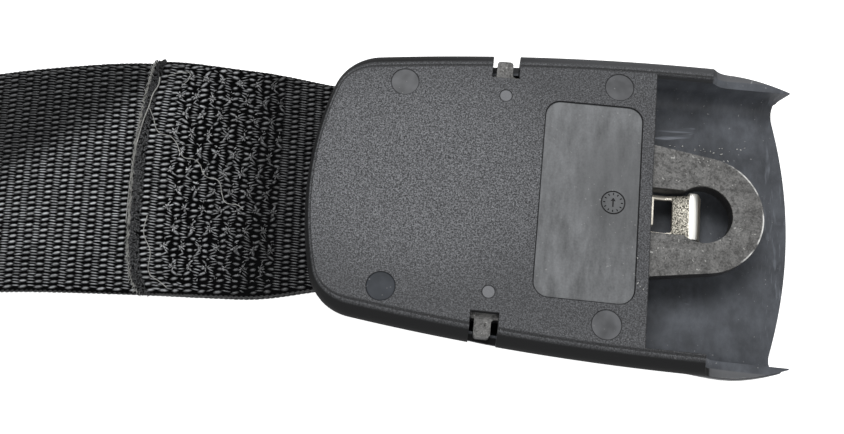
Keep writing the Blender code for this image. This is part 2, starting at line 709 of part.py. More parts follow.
def web_stations():
    """X and Z of the strip's middle, and its share of the cut end's shape: below, round the bar, above."""
    first_x = COVER_LEFT + WEB_END
    last_x = COVER_LEFT + FLAP_END
    lower_x = [first_x + WEB_STEP * i for i in range(int((BAR_RIGHT - first_x) / WEB_STEP))]
    points = [(x, layer_height(x, False), 0) for x in lower_x]
    low = layer_height(BAR_RIGHT, False)
    high = layer_height(BAR_RIGHT, True)
    radius = (high - low) / 2
    points += [(x, z, 0) for x, z in arc((BAR_RIGHT, low + radius), radius, -90, 90, 12)]
    upper_count = int((BAR_RIGHT - last_x) / WEB_STEP)
    upper_x = [BAR_RIGHT - WEB_STEP * (i + 1) for i in range(upper_count)] + [last_x]
    for x in upper_x:
        cut_share = 1 - smoothstep(last_x, last_x + FLAP_CORNER_LENGTH, x)
        points.append((x, layer_height(x, True), cut_share))
    return points


def flap_draw(share):
    """How far the flap's cut end draws back at a share of the belt's half width."""
    depth, power = FLAP_UPPER_CORNER if share > 0 else FLAP_LOWER_CORNER
    return depth * abs(share) ** power


def web_width(x):
    return WEB_WIDTH + (WEB_LOOP_WIDTH - WEB_WIDTH) * smoothstep(*WEB_NARROWS, x - COVER_LEFT)


def build_webbing():
    bm = bmesh.new()
    rows = []
    for x, z, cut_share in web_stations():
        middle = Vector((x, route_point(x)[0], z))
        side = across(x) * web_width(x) / 2
        row = []
        for i in range(WEB_COLUMNS + 1):
            share = 2 * i / WEB_COLUMNS - 1
            draw = Vector((flap_draw(share) * cut_share, 0, 0))
            row.append(bm.verts.new((middle + side * share + draw) * MM))
        rows.append(row)
    for a, b in zip(rows, rows[1:]):
        for i in range(WEB_COLUMNS):
            bm.faces.new((a[i], b[i], b[i + 1], a[i + 1]))
    mesh = bpy.data.meshes.new("belt_webbing")
    bm.to_mesh(mesh)
    bm.free()
    web = add_object("belt_webbing", mesh)
    thicken = web.modifiers.new("thickness", "SOLIDIFY")
    thicken.thickness = WEB_THICKNESS * MM
    thicken.offset = 0
    thicken.use_even_offset = True
    web.data.materials.append(material("black_polyester", (0.015, 0.015, 0.017), 0.6))
    smooth_sides(web, 60)
    return web


def build_thread(row, upper):
    """One zigzag row of sewing thread, lying just off the face that it is sewn into."""
    offset = (row - (THREAD_ROWS - 1) / 2) * THREAD_ROW_PITCH
    lift = WEB_THICKNESS / 2 + CLEARANCE + THREAD_RADIUS
    name = f"{'needle' if upper else 'bobbin'}_thread_{row + 1:02d}"
    curve = bpy.data.curves.new(name, "CURVE")
    curve.dimensions = "3D"
    curve.bevel_depth = THREAD_RADIUS * MM
    curve.bevel_resolution = 1
    curve.use_fill_caps = True
    count = int((SEAM[1] - SEAM[0]) / (THREAD_PITCH / 2)) + 1
    spline = curve.splines.new("POLY")
    spline.points.add(count - 1)
    for i, point in enumerate(spline.points):
        x = COVER_LEFT + SEAM[0] + i * THREAD_PITCH / 2
        swing = THREAD_ZIGZAG if (i + row) % 2 else -THREAD_ZIGZAG
        side = across(x)
        along = Vector((1, route_point(x + 0.5)[0] - route_point(x - 0.5)[0],
                        route_point(x + 0.5)[1] - route_point(x - 0.5)[1]))
        up = along.cross(side).normalized()
        middle = Vector((x, route_point(x)[0], layer_height(x, upper)))
        place = middle + side * (offset + swing) + up * (lift if upper else -lift)
        point.co = (*(place * MM), 1)
    thread = add_object(name, curve)
    thread.data.materials.append(bpy.data.materials.get("black_thread") or
                                 material("black_thread", (0.02, 0.02, 0.022), 0.5))
    return thread


def centre_on_floor(objects):
    """Parents the pieces to one empty and moves it so that the part's box is centred on the origin."""
    bpy.context.view_layer.update()
    graph = bpy.context.evaluated_depsgraph_get()
    corners = []
    for obj in objects:
        evaluated = obj.evaluated_get(graph)
        mesh = evaluated.to_mesh()
        corners += [obj.matrix_world @ v.co for v in mesh.vertices]
        evaluated.to_mesh_clear()
    low = Vector(min(c[i] for c in corners) for i in range(3))
    high = Vector(max(c[i] for c in corners) for i in range(3))
    root = add_object("belt_end_frame", None)
    for obj in list(objects) + list(bpy.data.collections[CUTTERS].objects):
        (obj.parent or obj).parent = root
    root.location = (-(low.x + high.x) / 2, -(low.y + high.y) / 2, -low.z)
    return root


def main():
    start_scene()
    pieces = [build_cover(), build_plate(), build_spring()]
    pieces += [build_rivet(side) for side in (-1, 1)]
    pieces.append(build_webbing())
    for upper in (True, False):
        pieces += [build_thread(row, upper) for row in range(THREAD_ROWS)]
    centre_on_floor(pieces)


main()
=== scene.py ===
"""The finish of a seat belt's lower end fitting: cover, anchor plate, latch spring and webbing.

Shapes are written in millimetres from the fitting's own drawing origin, and put() turns them into the
frame's metres. Heights are measured up from the surface that the cover's front wall lies on.
"""
import json
import math
import random

import bmesh
import bpy
from bpy.props import FloatProperty, FloatVectorProperty, IntProperty, PointerProperty
from mathutils import Matrix, Vector


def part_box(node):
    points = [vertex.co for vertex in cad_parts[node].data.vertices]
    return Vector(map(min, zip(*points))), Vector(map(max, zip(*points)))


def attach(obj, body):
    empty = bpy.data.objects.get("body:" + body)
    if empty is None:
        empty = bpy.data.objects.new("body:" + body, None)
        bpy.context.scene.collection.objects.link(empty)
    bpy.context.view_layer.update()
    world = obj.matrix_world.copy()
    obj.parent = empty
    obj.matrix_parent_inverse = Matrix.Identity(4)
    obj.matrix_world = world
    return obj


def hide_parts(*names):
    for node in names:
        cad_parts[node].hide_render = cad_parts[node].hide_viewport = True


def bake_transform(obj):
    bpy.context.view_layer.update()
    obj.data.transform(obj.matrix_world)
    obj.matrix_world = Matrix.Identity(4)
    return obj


bl_info = {
    "name": "Seat Belt End Fitting",
    "version": (1, 0, 0),
    "blender": (4, 5, 0),
    "location": "View3D > Sidebar > Belt Fitting",
    "description": "Builds the finished surfaces of a seat belt's lower end fitting round its frame",
    "category": "Object",
}

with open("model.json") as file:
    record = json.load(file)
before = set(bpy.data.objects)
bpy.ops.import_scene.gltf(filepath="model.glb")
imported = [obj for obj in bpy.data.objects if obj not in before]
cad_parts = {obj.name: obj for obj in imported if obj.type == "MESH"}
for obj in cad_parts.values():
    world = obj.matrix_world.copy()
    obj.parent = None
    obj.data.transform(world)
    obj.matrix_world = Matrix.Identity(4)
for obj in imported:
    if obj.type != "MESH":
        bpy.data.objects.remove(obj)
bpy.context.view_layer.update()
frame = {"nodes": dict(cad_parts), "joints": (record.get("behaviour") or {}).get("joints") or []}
NODES = frame["nodes"]
LATCH = frame["joints"][0]

MM = 0.001

# The drawing's X of the latch's hinge places the drawing in the frame. All its sizes are in millimetres
HINGE_X = 29.5
HINGE_Z = LATCH["pos_m"][2] / MM
SHIFT = LATCH["pos_m"][0] / MM - HINGE_X
OVERSHOOT = 5.0
PLATE_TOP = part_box("anchor_plate")[1][2] / MM
BAR_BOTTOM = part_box("anchor_plate")[0][2] / MM
COVER_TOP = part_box("cover_sleeve")[1][2] / MM

# Cover
WALL = 2.0
COVER_LEFT = -32.0
COVER_HALF_WIDTH = 31.9
WIDEST_X = 45.0
SIDE_CURVE = 0.00101
TAPER_X = 50.0
TAPER_CURVE = 0.0127
END_ARC_RADIUS = 70.0
CORNER_RADIUS = 10.5
OPEN_END_X = 66.9
OPEN_END_CURVE = 0.0052
HORN_X = 65.1
HORN_SLANT = (1.8, 6.5)
HORN_EDGE = 0.25
BACK_ROUND = (4.0, 3.2)
BACK_ROUND_END_SHARE = 0.45
FRONT_ROUND = (5.0, 5.6)
FRONT_DRAFT = 1.1
DRAFT_FADE_X = (42.0, 58.0)
MOUTH_DRAFT = 2.0
MOUTH_DRAFT_X = (8.0, -26.0)
CAVITY_HALF_WIDTH = 28.6
CAVITY_FRONT_ROUND = 4.0
CAVITY_BACK_ROUND = 1.0
BACK_WALL_END_X = 36.8
RIM_INNER_Y = 28.2
RIM_STEP_X = 48.2
RIM_STEP_RADIUS = 4.2
RIM_STEP_DROP = 4.5
MOUTH_HALF_WIDTH = 24.9
MOUTH_Z = (6.6, 11.2)
MOUTH_DEPTH = 9.5
PARTING_Z = 7.0
PARTING_LEDGE = 0.28
WINDOW_X = (3.2, 8.7)
WINDOW_INNER_Y = 24.4
WINDOW_FLOOR = 7.9
LABEL_X = (14.5, 34.4)
LABEL_HALF_WIDTH = 20.5
LABEL_RADIUS = 3.2
LABEL_DEPTH = 0.4
RECESS_FLANK = 0.3
OPENING_FLARE = 0.18
WINDOW_FLARE = 0.12
HORN_SLOPE_X = 49.4

# Date dial: the groove's width and depth, and the pointer's outline from the dial's middle
DIAL_X = 29.2
DIAL_RADIUS = 2.45
DIAL_GROOVE = (0.28, 0.22)
DIAL_TICKS = 12
DIAL_TICK_SHARES = (0.62, 0.8)
DIAL_TICK_HALF_WIDTH = 0.11
DIAL_POINTER = ((-0.15, -0.9), (0.15, -0.9), (0.15, 0.3), (0.5, 0.3), (0.0, 1.0), (-0.5, 0.3), (-0.15, 0.3))

# Disc marks on the back wall, one pair each: X, Y, radius and depth
EJECTOR_MARKS = ((-14.5, 21.5, 3.0, 0.2), (29.2, 24.6, 3.05, 0.18), (6.3, 20.5, 1.45, 0.15))

# Pale marks on the front wall's inside, worn in but for the last, which is painted light: from, to, half
# width and strength
SCUFFS = (
    ((36.5, 20.6), (47.0, 21.6), 0.9, 0.8),
    ((36.5, 18.4), (46.5, 20.3), 0.7, 1.0),
    ((36.5, 22.6), (44.0, 22.4), 0.6, 0.5),
    ((45.4, -14.0), (48.6, -18.6), 1.2, 0.5),
    ((60.0, 3.2), (65.5, 3.2), 1.6, 0.35),
    # Painted light: this mark makes the floor seen through the plate's eye paler, where it lies in shade
    ((50.2, 3.5), (51.0, -5.5), 2.2, 0.5),
)

# Anchor plate
PLATE_THICKNESS = 3.5
NOSE_X = 47.4
NOSE_RADIUS = 12.0
EYE_RADIUS = 5.9
EYE_SLOT_HALF_WIDTH = 4.7
EYE_SLOT_X = 36.5
FLANK_SLOPE = 0.155
SHOULDER_X = 13.0
SHOULDER_FILLET = 5.0
SHOULDER_RADIUS = 3.0
PLATE_LEFT = -14.0
PLATE_CORNER_RADIUS = 5.0
BAR_WIDTH = 6.0
BELT_SLOT_LENGTH = 6.5
BELT_SLOT_HALF_WIDTH = 21.7
BELT_SLOT_RADIUS = 1.5
JOGGLE_X = (-5.6, 2.8)
JOGGLE_DROP = 2.1
LUG_X = (4.1, 7.4)
LUG_REACH = 29.0
LUG_CORNER = 0.7
PLATE_PAST_WINDOW = 1.1
PLATE_EDGE = 0.3
RIVET_AT = (25.25, 5.2)
RIVET_SHANK_HOLE = 1.7
RIVET_HEAD_HOLE = (2.6, 1.1)

# Latch spring
SPRING_THICKNESS = 0.7
SPRING_ROOT_X = 21.0
SPRING_PAD_HALF_WIDTH = 8.5
SPRING_TONGUE_HALF_WIDTH = 4.3
SPRING_HEAD_HALF_WIDTH = 4.8
SPRING_CREST_X = 46.3
SPRING_HEAD_LENGTH = 1.3
SPRING_RAMP_LENGTH = 5.7
SPRING_CREST_RISE = 1.95
SPRING_TAIL = (1.4, 1.0)
SPRING_BEND = 0.9
SPRING_WINDOW_X = (37.7, 42.0)
SPRING_WINDOW_HALF_WIDTH = 3.5
SPRING_LIP_HEIGHT = 3.3
SPRING_WINDOW_RADIUS = 0.6
SPRING_EDGE = 0.1
SPRING_FACE_X = 41.8
SPRING_SHINE_X = 45.0
SPRING_TAIL_X = 46.5

# Webbing: each route point holds X, Y, the height above the middle of the bar, and the roll in degrees
WEB_WIDTH = 48.0
WEB_LOOP_WIDTH = 42.6
WEB_THICKNESS = 1.2
WEB_NARROWS_X = (-44.0, -22.0)
WEB_ROUTE = (
    (-108.0, -8.2, 0.45, -6.0),
    (-86.0, -5.3, 2.55, 0.0),
    (-64.0, -3.4, 3.15, 6.5),
    (-42.0, -1.9, 0.75, 1.0),
    (-26.0, -0.6, -0.05, 0.0),
)
WEB_PARTS_X = -22.0
WEB_END_X = -104.0
WEB_CORE_THICKNESS = 0.86
WEAVE_RIGHT_X = -26.0
WEAVE_UNDER_FLAP = 2.5
LAYER_GAP = 0.3
WEAVE_FLOAT = (2.1, 0.84, 0.8)
EDGE_FLOAT = (1.9, 0.62, 0.5)

# Flap's cut end. Floats, strands and crumbs hold a length, a width and a height
FLAP_END_X = -66.8
FLAP_UPPER_CORNER = (3.0, 2)
FLAP_LOWER_CORNER = (3.3, 6)
FLAP_CORNER_LENGTH = 16.0
LIP_LENGTH = 2.2
LIP_LUMP = (1.05, 0.36, 0.4)
LIP_LUMPS = 1500
LIP_EDGE_LUMPS = 240
LIP_SEED = 31
FRINGE_FIBRE = (1.7, 0.1, 0.1)
FRINGE_FIBRES = 760
FRINGE_SEED = 47

# Grit in the open end
CRUMB = (0.42, 0.42, 0.42)
CRUMB_SEED = 5

# Sewing
SEAM_X = (-59.5, -38.5)
SEAM_ROWS = 11
SEAM_ROW_PITCH = 3.9
SEAM_SWING = 1.25
SEAM_HALF_PITCH = 1.75
STITCH_PLY = (1.0, 0.34, 0.42)
TUFT_STRAND = (1.0, 0.34, 0.36)
PUCKER_DEPTHS = (0.38, 0.1)
PUCKER_SPREAD = 0.8
STAR_SPREAD = 2.2
TUFT_RAYS = 9

# Loose yarns over the flap: radius, then X and distance across along each
LOOSE_YARNS = {
    "lip": (0.13, ((-64.8, 20.4), (-64.6, 18.9), (-65.3, 16.7), (-65.5, 14.2), (-66.0, 11.4),
                   (-66.6, 6.3))),
    "long": (0.085, ((-65.3, 13.7), (-64.2, 11.9), (-62.6, 8.8), (-60.0, 7.9), (-58.9, 6.9),
                     (-57.1, 3.9), (-55.1, 3.6), (-54.0, 2.9), (-52.5, 0.3), (-49.9, -0.5),
                     (-48.9, -3.3), (-48.2, -4.8), (-45.4, -5.4), (-44.5, -6.2))),
    "low": (0.08, ((-63.2, -8.4), (-63.7, -11.9), (-62.3, -15.4), (-62.8, -19.9), (-60.9, -21.4),
                   (-59.5, -22.5))),
    "curl": (0.06, ((-63.4, 20.6), (-60.1, 21.6), (-58.1, 21.5), (-58.2, 20.3), (-59.4, 18.9))),
    "edge": (0.07, ((-66.6, 6.3), (-67.0, 0.5), (-67.2, -4.5), (-67.3, -10.0))),
}

# Camera, lamps and floor. The camera's place and the floor's drop are in the drawing's millimetres, and the
# lamps' places and sizes and the floor's size are in metres
CAMERA_LENS = 42.654
CAMERA_SENSOR = 36.0
CAMERA_PLACE = (0, -61.87, 202.68)
CAMERA_TURN_DEG = (16.379, 0.651, 6.077)
KEY_LAMP = ((-0.22, 0.42, 1.05), (0.6, 0.5))
FILL_LAMP = ((0.25, -0.75, 0.8), (0.7, 0.7))
FLOOR_SIZE = 3.0
FLOOR_DROP = 0.05
SEEN_RAYS = ("Is Camera Ray", "Is Glossy Ray", "Is Transmission Ray")

# Steps on rounded corners, round the disc marks, and along the cover's side, corner and left end
ROUND_STEPS = 8
MARK_STEPS = 40
PLAN_STEPS = (44, 16, 10)

BAR_MIDDLE = BAR_BOTTOM + PLATE_THICKNESS / 2
BAR_RIGHT = PLATE_LEFT + BAR_WIDTH
LAYER_LIFT = WEB_THICKNESS + LAYER_GAP


class CoverSettings(bpy.types.PropertyGroup):
    """Finish of the moulded cover."""
    colour: FloatVectorProperty(name="Colour", description="Moulded plastic", subtype="COLOR",
                                default=(0.084, 0.086, 0.091), min=0, max=1)
    inside_colour: FloatVectorProperty(name="Inside colour", description="Smooth plastic inside the sleeve",
                                       subtype="COLOR", default=(0.058, 0.0625, 0.071), min=0, max=1)
    label_colour: FloatVectorProperty(name="Label colour", description="Smooth floor of the label recess",
                                      subtype="COLOR", default=(0.13, 0.134, 0.139), min=0, max=1)
    grain: FloatProperty(name="Grain", description="Size of the moulded grain", unit="LENGTH",
                         default=0.00031, min=0.0001, max=0.002)


class MetalSettings(bpy.types.PropertyGroup):
    """Finish of the steel pieces."""
    plate_colour: FloatVectorProperty(name="Plate colour", description="Phosphated steel", subtype="COLOR",
                                      default=(0.108, 0.1065, 0.104), min=0, max=1)
    spring_colour: FloatVectorProperty(name="Spring colour", description="Plated spring strip",
                                       subtype="COLOR", default=(0.66, 0.62, 0.54), min=0, max=1)
    rivet_colour: FloatVectorProperty(name="Rivet colour", description="Plain steel", subtype="COLOR",
                                      default=(0.35, 0.34, 0.32), min=0, max=1)


class WebbingSettings(bpy.types.PropertyGroup):
    """Weave and sewing of the belt."""
    colour: FloatVectorProperty(name="Yarn colour", description="Polyester yarn, in the hollows of the weave",
                                subtype="COLOR", default=(0.003, 0.0031, 0.0034), min=0, max=1)
    # The crown colour is a painted highlight on the floats' crowns
    crown_highlight_colour: FloatVectorProperty(name="Crown colour", description="Yarn rubbed pale on its crowns",
                                      subtype="COLOR", default=(0.58, 0.595, 0.62), min=0, max=1)
    thread_colour: FloatVectorProperty(name="Thread colour", description="Sewing thread", subtype="COLOR",
                                       default=(0.03, 0.031, 0.033), min=0, max=1)
    # The tuft colour is a painted highlight on the drawn-up thread
    tuft_highlight_colour: FloatVectorProperty(name="Tuft colour", description="Thread drawn up at the needle's points",
                                     subtype="COLOR", default=(0.85, 0.86, 0.88), min=0, max=1)
    pale_colour: FloatVectorProperty(name="Loose yarn colour", description="Frayed yarn", subtype="COLOR",
                                     default=(0.33, 0.33, 0.315), min=0, max=1)
    row_pitch: FloatProperty(name="Row pitch", description="From rib to rib across the belt", unit="LENGTH",
                             default=0.00115, min=0.0005, max=0.005)
    column_pitch: FloatProperty(name="Column pitch", description="From pick to pick along the belt",
                                unit="LENGTH", default=0.00158, min=0.0005, max=0.005)
    seed: IntProperty(name="Seed", description="Seed of the weave's small irregularities", default=7)


class StageSettings(bpy.types.PropertyGroup):
    """Floor and lamps."""
    floor_colour: FloatVectorProperty(name="Floor", description="Pale floor", subtype="COLOR",
                                      default=(0.8, 0.8, 0.8), min=0, max=1)
    key_power: FloatProperty(name="Key lamp", description="Power of the large lamp", default=10.0, min=0)
    fill_power: FloatProperty(name="Fill lamp", description="Power of the lamp that fills the shadows",
                              default=4.0, min=0)
    world_level: FloatProperty(name="World", description="Strength of the even light", default=0.16, min=0)


# Points and solids

def put(x, y, z):
    """A point of the drawing, in the frame's metres."""
    return Vector((x + SHIFT, y, z)) * MM


def smoothstep(low, high, value):
    """0 below low, 1 above high, and smooth between."""
    t = max(0.0, min(1.0, (value - low) / (high - low)))
    return t * t * (3 - 2 * t)


def arc(centre, radius, start_deg, end_deg, steps):
    """Points along an arc, both ends included."""
    points = []
    for i in range(steps + 1):
        a = math.radians(start_deg + (end_deg - start_deg) * i / steps)
        points.append((centre[0] + radius * math.cos(a), centre[1] + radius * math.sin(a)))
    return points


def circle(centre, radius, steps=48):
    """Points round a circle, without the first one again."""
    return arc(centre, radius, 0, 360 * (1 - 1 / steps), steps - 1)


def rounded_rectangle(x_range, half_width, radius):
    """A rectangle about the middle line with round corners."""
    x0, x1 = x_range
    inner = half_width - radius
    corners = (((x1 - radius, inner), 0), ((x0 + radius, inner), 90),
               ((x0 + radius, -inner), 180), ((x1 - radius, -inner), 270))
    return [p for centre, start in corners for p in arc(centre, radius, start, start + 90, ROUND_STEPS)]


def link(name, mesh):
    obj = bpy.data.objects.new(name, mesh)
    bpy.context.scene.collection.objects.link(obj)
    return obj


def mesh_object(name, bm):
    mesh = bpy.data.meshes.new(name)
    bm.to_mesh(mesh)
    bm.free()
    return link(name, mesh)


def loft(name, rings):
    """A closed solid through rings of equal count, each a list of points of the drawing."""
    bm = bmesh.new()
    rows = [[bm.verts.new(put(*p)) for p in ring] for ring in rings]
    count = len(rings[0])
    for low, high in zip(rows, rows[1:]):
        for i in range(count):
            j = (i + 1) % count
            bm.faces.new((low[i], low[j], high[j], high[i]))
    bm.faces.new(reversed(rows[0]))
    bm.faces.new(rows[-1])
    bmesh.ops.recalc_face_normals(bm, faces=bm.faces)
    walls = [f for f in bm.faces if len(f.verts) == 4]
    bmesh.ops.triangulate(bm, faces=walls)
    return mesh_object(name, bm)


def prism(name, outline, z_low, z_high):
    """An outline seen from above, raised between two heights."""
    return loft(name, [[(x, y, z) for x, y in outline] for z in (z_low, z_high)])


def side_prism(name, profile, y_low, y_high):
    """A profile seen from the side, drawn across the drawing."""
    return loft(name, [[(x, y, z) for x, z in profile] for y in (y_low, y_high)])


def rectangle(x_range, y_range, grow=0.0):
    x0, x1 = x_range[0] - grow, x_range[1] + grow
    y0, y1 = y_range[0] - grow, y_range[1] + grow
    return [(x0, y0), (x1, y0), (x1, y1), (x0, y1)]


def flared_box(name, x_range, y_range, z_low, top, flare):
    """A box whose mouth widens just below the surface at top, which leaves a worn edge there."""
    levels = ((z_low, 0), (top - flare, 0), (top + 0.01, flare), (top + OVERSHOOT, flare))
    rings = [[(x, y, z) for x, y in rectangle(x_range, y_range, grow)] for z, grow in levels]
    return loft(name, rings)


def carve(obj, cutters, operation="DIFFERENCE"):
    """Cuts obj with each cutter, then removes the cutters."""
    for cutter in cutters:
        mod = obj.modifiers.new(cutter.name, "BOOLEAN")
        mod.object = cutter
        mod.operation = operation
        mod.solver = "EXACT"
    settle(obj)
    for cutter in cutters:
        bpy.data.objects.remove(cutter, do_unlink=True)
    return obj


def evaluated_mesh(obj):
    """A plain mesh of the object with its modifiers applied."""
    bpy.context.view_layer.update()
    graph = bpy.context.evaluated_depsgraph_get()
    return bpy.data.meshes.new_from_object(obj.evaluated_get(graph))


def settle(obj):
    """Turns the object's modifiers into its mesh."""
    mesh = evaluated_mesh(obj)
    obj.modifiers.clear()
    obj.data = mesh
    return obj


def thicken(obj, thickness, even):
    """Gives a surface an equal wall on both sides."""
    wall = obj.modifiers.new("wall", "SOLIDIFY")
    wall.thickness = thickness * MM
    wall.offset = 0
    wall.use_even_offset = even
    return settle(obj)


def bevel_edges(obj, width, segments):
    """Rounds the piece's sharp edges."""
    bevel = obj.modifiers.new("edge", "BEVEL")
    bevel.width = width * MM
    bevel.segments = segments
    bevel.limit_method = "ANGLE"
    bevel.angle_limit = math.radians(50)
    return settle(obj)


def soften(obj, angle_deg):
    """Merges stray points and shades the piece smooth but for its sharp edges."""
    bm = bmesh.new()
    bm.from_mesh(obj.data)
    bmesh.ops.remove_doubles(bm, verts=bm.verts, dist=1e-6)
    bmesh.ops.dissolve_degenerate(bm, edges=bm.edges, dist=1e-7)
    bm.to_mesh(obj.data)
    bm.free()
    obj.data.shade_smooth()
    obj.data.set_sharp_from_angle(angle=math.radians(angle_deg))
    return obj


def finish_piece(obj, material, slot, *nodes, body="root"):
    """Gives a finished piece its material, hides the CAD nodes that it stands in for and parents it to its
    body.
    """
    obj.data.materials.clear()
    obj.data.materials.append(material)
    if nodes:
        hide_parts(*nodes)
    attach(obj, body)
    return obj


# Cover

def cover_half_width(x, tapered=True):
    """Half the cover's width, widest near the open end."""
    rise = SIDE_CURVE * max(0.0, WIDEST_X - x) ** 2
    taper = TAPER_CURVE * max(0.0, x - TAPER_X) ** 2
    return COVER_HALF_WIDTH - rise - (taper if tapered else 0)


def corner_centre():
    """Centre of the rounding between the curved side and the bowed left end."""
    x = COVER_LEFT + CORNER_RADIUS
    for _ in range(20):
        slope = 2 * SIDE_CURVE * (WIDEST_X - x)
        y = cover_half_width(x) - CORNER_RADIUS * math.hypot(1, slope)
        x = COVER_LEFT + END_ARC_RADIUS - math.sqrt((END_ARC_RADIUS - CORNER_RADIUS) ** 2 - y ** 2)
    return x, y


def cover_plan(right_x, tapered=True):
    """Points round the cover seen from above, each with its outward direction."""
    side_steps, corner_steps, end_steps = PLAN_STEPS
    cx, cy = corner_centre()
    side_angle = math.degrees(math.atan(2 * SIDE_CURVE * (WIDEST_X - cx)))
    end_angle = math.degrees(math.asin(cy / (END_ARC_RADIUS - CORNER_RADIUS)))
    corner = arc((cx, cy), CORNER_RADIUS, 90 + side_angle, 180 - end_angle, corner_steps)
    start_x = corner[0][0]
    side = []
    for i in range(side_steps):
        x = right_x + (start_x - right_x) * i / side_steps
        side.append((x, cover_half_width(min(x, OPEN_END_X), tapered)))
    end = arc((COVER_LEFT + END_ARC_RADIUS, 0), END_ARC_RADIUS, 180 - end_angle, 180, end_steps)
    half = side + corner + end[1:]
    points = [Vector(p) for p in half + [(x, -y) for x, y in reversed(half[:-1])]]
    normals = []
    for i, p in enumerate(points):
        before = points[i - 1] if i else p
        after = points[i + 1] if i + 1 < len(points) else p
        along = (after - before).normalized()
        normals.append(Vector((along.y, -along.x)))
    return points, normals


def front_draft(x):
    """How far the front wall's outline lies inside the back wall's."""
    at_side = FRONT_DRAFT * (1 - smoothstep(*DRAFT_FADE_X, x))
    at_mouth = MOUTH_DRAFT * (1 - smoothstep(MOUTH_DRAFT_X[1], MOUTH_DRAFT_X[0], x))
    return at_side + at_mouth


def inset_ring(plan, inset, z, end_share=1.0, limit=None, draft=0.0):
    """The plan moved inwards by inset and by a share of the front shell's draft."""
    ring = []
    for p, n in zip(*plan):
        share = 1 - (1 - end_share) * n.x ** 2
        q = p - n * (inset * share + draft * front_draft(p.x))
        y = q.y if limit is None else max(-limit, min(limit, q.y))
        ring.append((q.x, y, z))
    return ring


def quarter(depth, height, steps):
    """Steps of a quarter round, as an inset and a drop."""
    angles = [math.pi / 2 * i / steps for i in range(steps + 1)]
    return [(depth * (1 - math.sin(a)), height * (1 - math.cos(a))) for a in angles]


def draft_share(z):
    """Share of the draft at a height between the back's rounding and the front's."""
    high = COVER_TOP - BACK_ROUND[1]
    return max(0.0, min(1.0, (high - z) / (high - FRONT_ROUND[1])))


def cover_body():
    """The outer shell, with the small ledge along the line where the mould parts."""
    plan = cover_plan(OPEN_END_X + OVERSHOOT)
    rings = []
    for inset, drop in quarter(*BACK_ROUND, 10):
        rings.append(inset_ring(plan, inset, COVER_TOP - drop, BACK_ROUND_END_SHARE))
    above = draft_share(PARTING_Z)
    rings.append(inset_ring(plan, PARTING_LEDGE, PARTING_Z + 0.05, draft=above))
    rings.append(inset_ring(plan, 0.05, PARTING_Z - 0.1, draft=above))
    rings.append(inset_ring(plan, 0, PARTING_Z - 0.25, draft=draft_share(PARTING_Z - 0.25)))
    for inset, drop in reversed(quarter(*FRONT_ROUND, 10)):
        rings.append(inset_ring(plan, inset, drop, draft=1.0))
    return loft("cover", rings)


def cavity():
    """The hollow that the plate and the belt lie in."""
    plan = cover_plan(OPEN_END_X + 2 * OVERSHOOT, tapered=False)
    rings = []
    for inset, drop in quarter(CAVITY_BACK_ROUND, CAVITY_BACK_ROUND, 4):
        limit = CAVITY_HALF_WIDTH - inset
        rings.append(inset_ring(plan, WALL + inset, COVER_TOP - WALL - drop, limit=limit))
    for inset, drop in reversed(quarter(CAVITY_FRONT_ROUND, CAVITY_FRONT_ROUND, 8)):
        limit = CAVITY_HALF_WIDTH - inset
        rings.append(inset_ring(plan, WALL + inset, WALL + drop, limit=limit, draft=1.0))
    return loft("cavity", rings)


def open_end():
    """Everything beyond the open end, whose front wall bows out between two slanting horns."""
    steps = 40
    horn_y = CAVITY_HALF_WIDTH - HORN_EDGE
    horn_foot = HORN_X - HORN_SLANT[0]
    edge = []
    for i in range(steps + 1):
        y = -horn_y + 2 * horn_y * i / steps
        edge.append((max(horn_foot, OPEN_END_X - OPEN_END_CURVE * y ** 2), y))
    far_x = OPEN_END_X + 3 * OVERSHOOT
    far_y = COVER_HALF_WIDTH + OVERSHOOT
    edge += [(HORN_X, horn_y), (HORN_X, far_y), (far_x, far_y)]
    edge += [(far_x, -far_y), (HORN_X, -far_y), (HORN_X, -horn_y)]
    cutters = [prism("open_end", edge, -OVERSHOOT, COVER_TOP + OVERSHOOT)]
    horn_top = COVER_TOP - RIM_STEP_DROP
    slant = [(HORN_X, horn_top), (horn_foot, horn_top - HORN_SLANT[1]), (horn_foot, -OVERSHOOT),
             (far_x, -OVERSHOOT), (far_x, horn_top)]
    for side in (-1, 1):
        cutters.append(side_prism(f"horn_{side}", slant, *sorted((side * (horn_y - 1), side * far_y))))
    return cutters


def rim_step():
    """Everything above the lowered rim beside the opening."""
    low = COVER_TOP - RIM_STEP_DROP
    profile = arc((RIM_STEP_X + RIM_STEP_RADIUS, low + RIM_STEP_RADIUS), RIM_STEP_RADIUS, 180, 270, 20)
    far_x = OPEN_END_X + OVERSHOOT
    top = COVER_TOP + OVERSHOOT
    profile += [(far_x, low), (far_x, top), (RIM_STEP_X, top)]
    reach = COVER_HALF_WIDTH + OVERSHOOT
    return side_prism("rim_step", profile, -reach, reach)


def flared_recess(name, outline, depth):
    """A shallow recess with a slanting flank. outline(shrink) gives its edge."""
    levels = ((COVER_TOP - depth, RECESS_FLANK), (COVER_TOP + 0.01, 0), (COVER_TOP + OVERSHOOT, 0))
    return loft(name, [[(x, y, z) for x, y in outline(shrink)] for z, shrink in levels])


def label_outline(shrink):
    """Edge of the label field, made smaller by shrink."""
    x_range = (LABEL_X[0] + shrink, LABEL_X[1] - shrink)
    return rounded_rectangle(x_range, LABEL_HALF_WIDTH - shrink, LABEL_RADIUS - shrink)


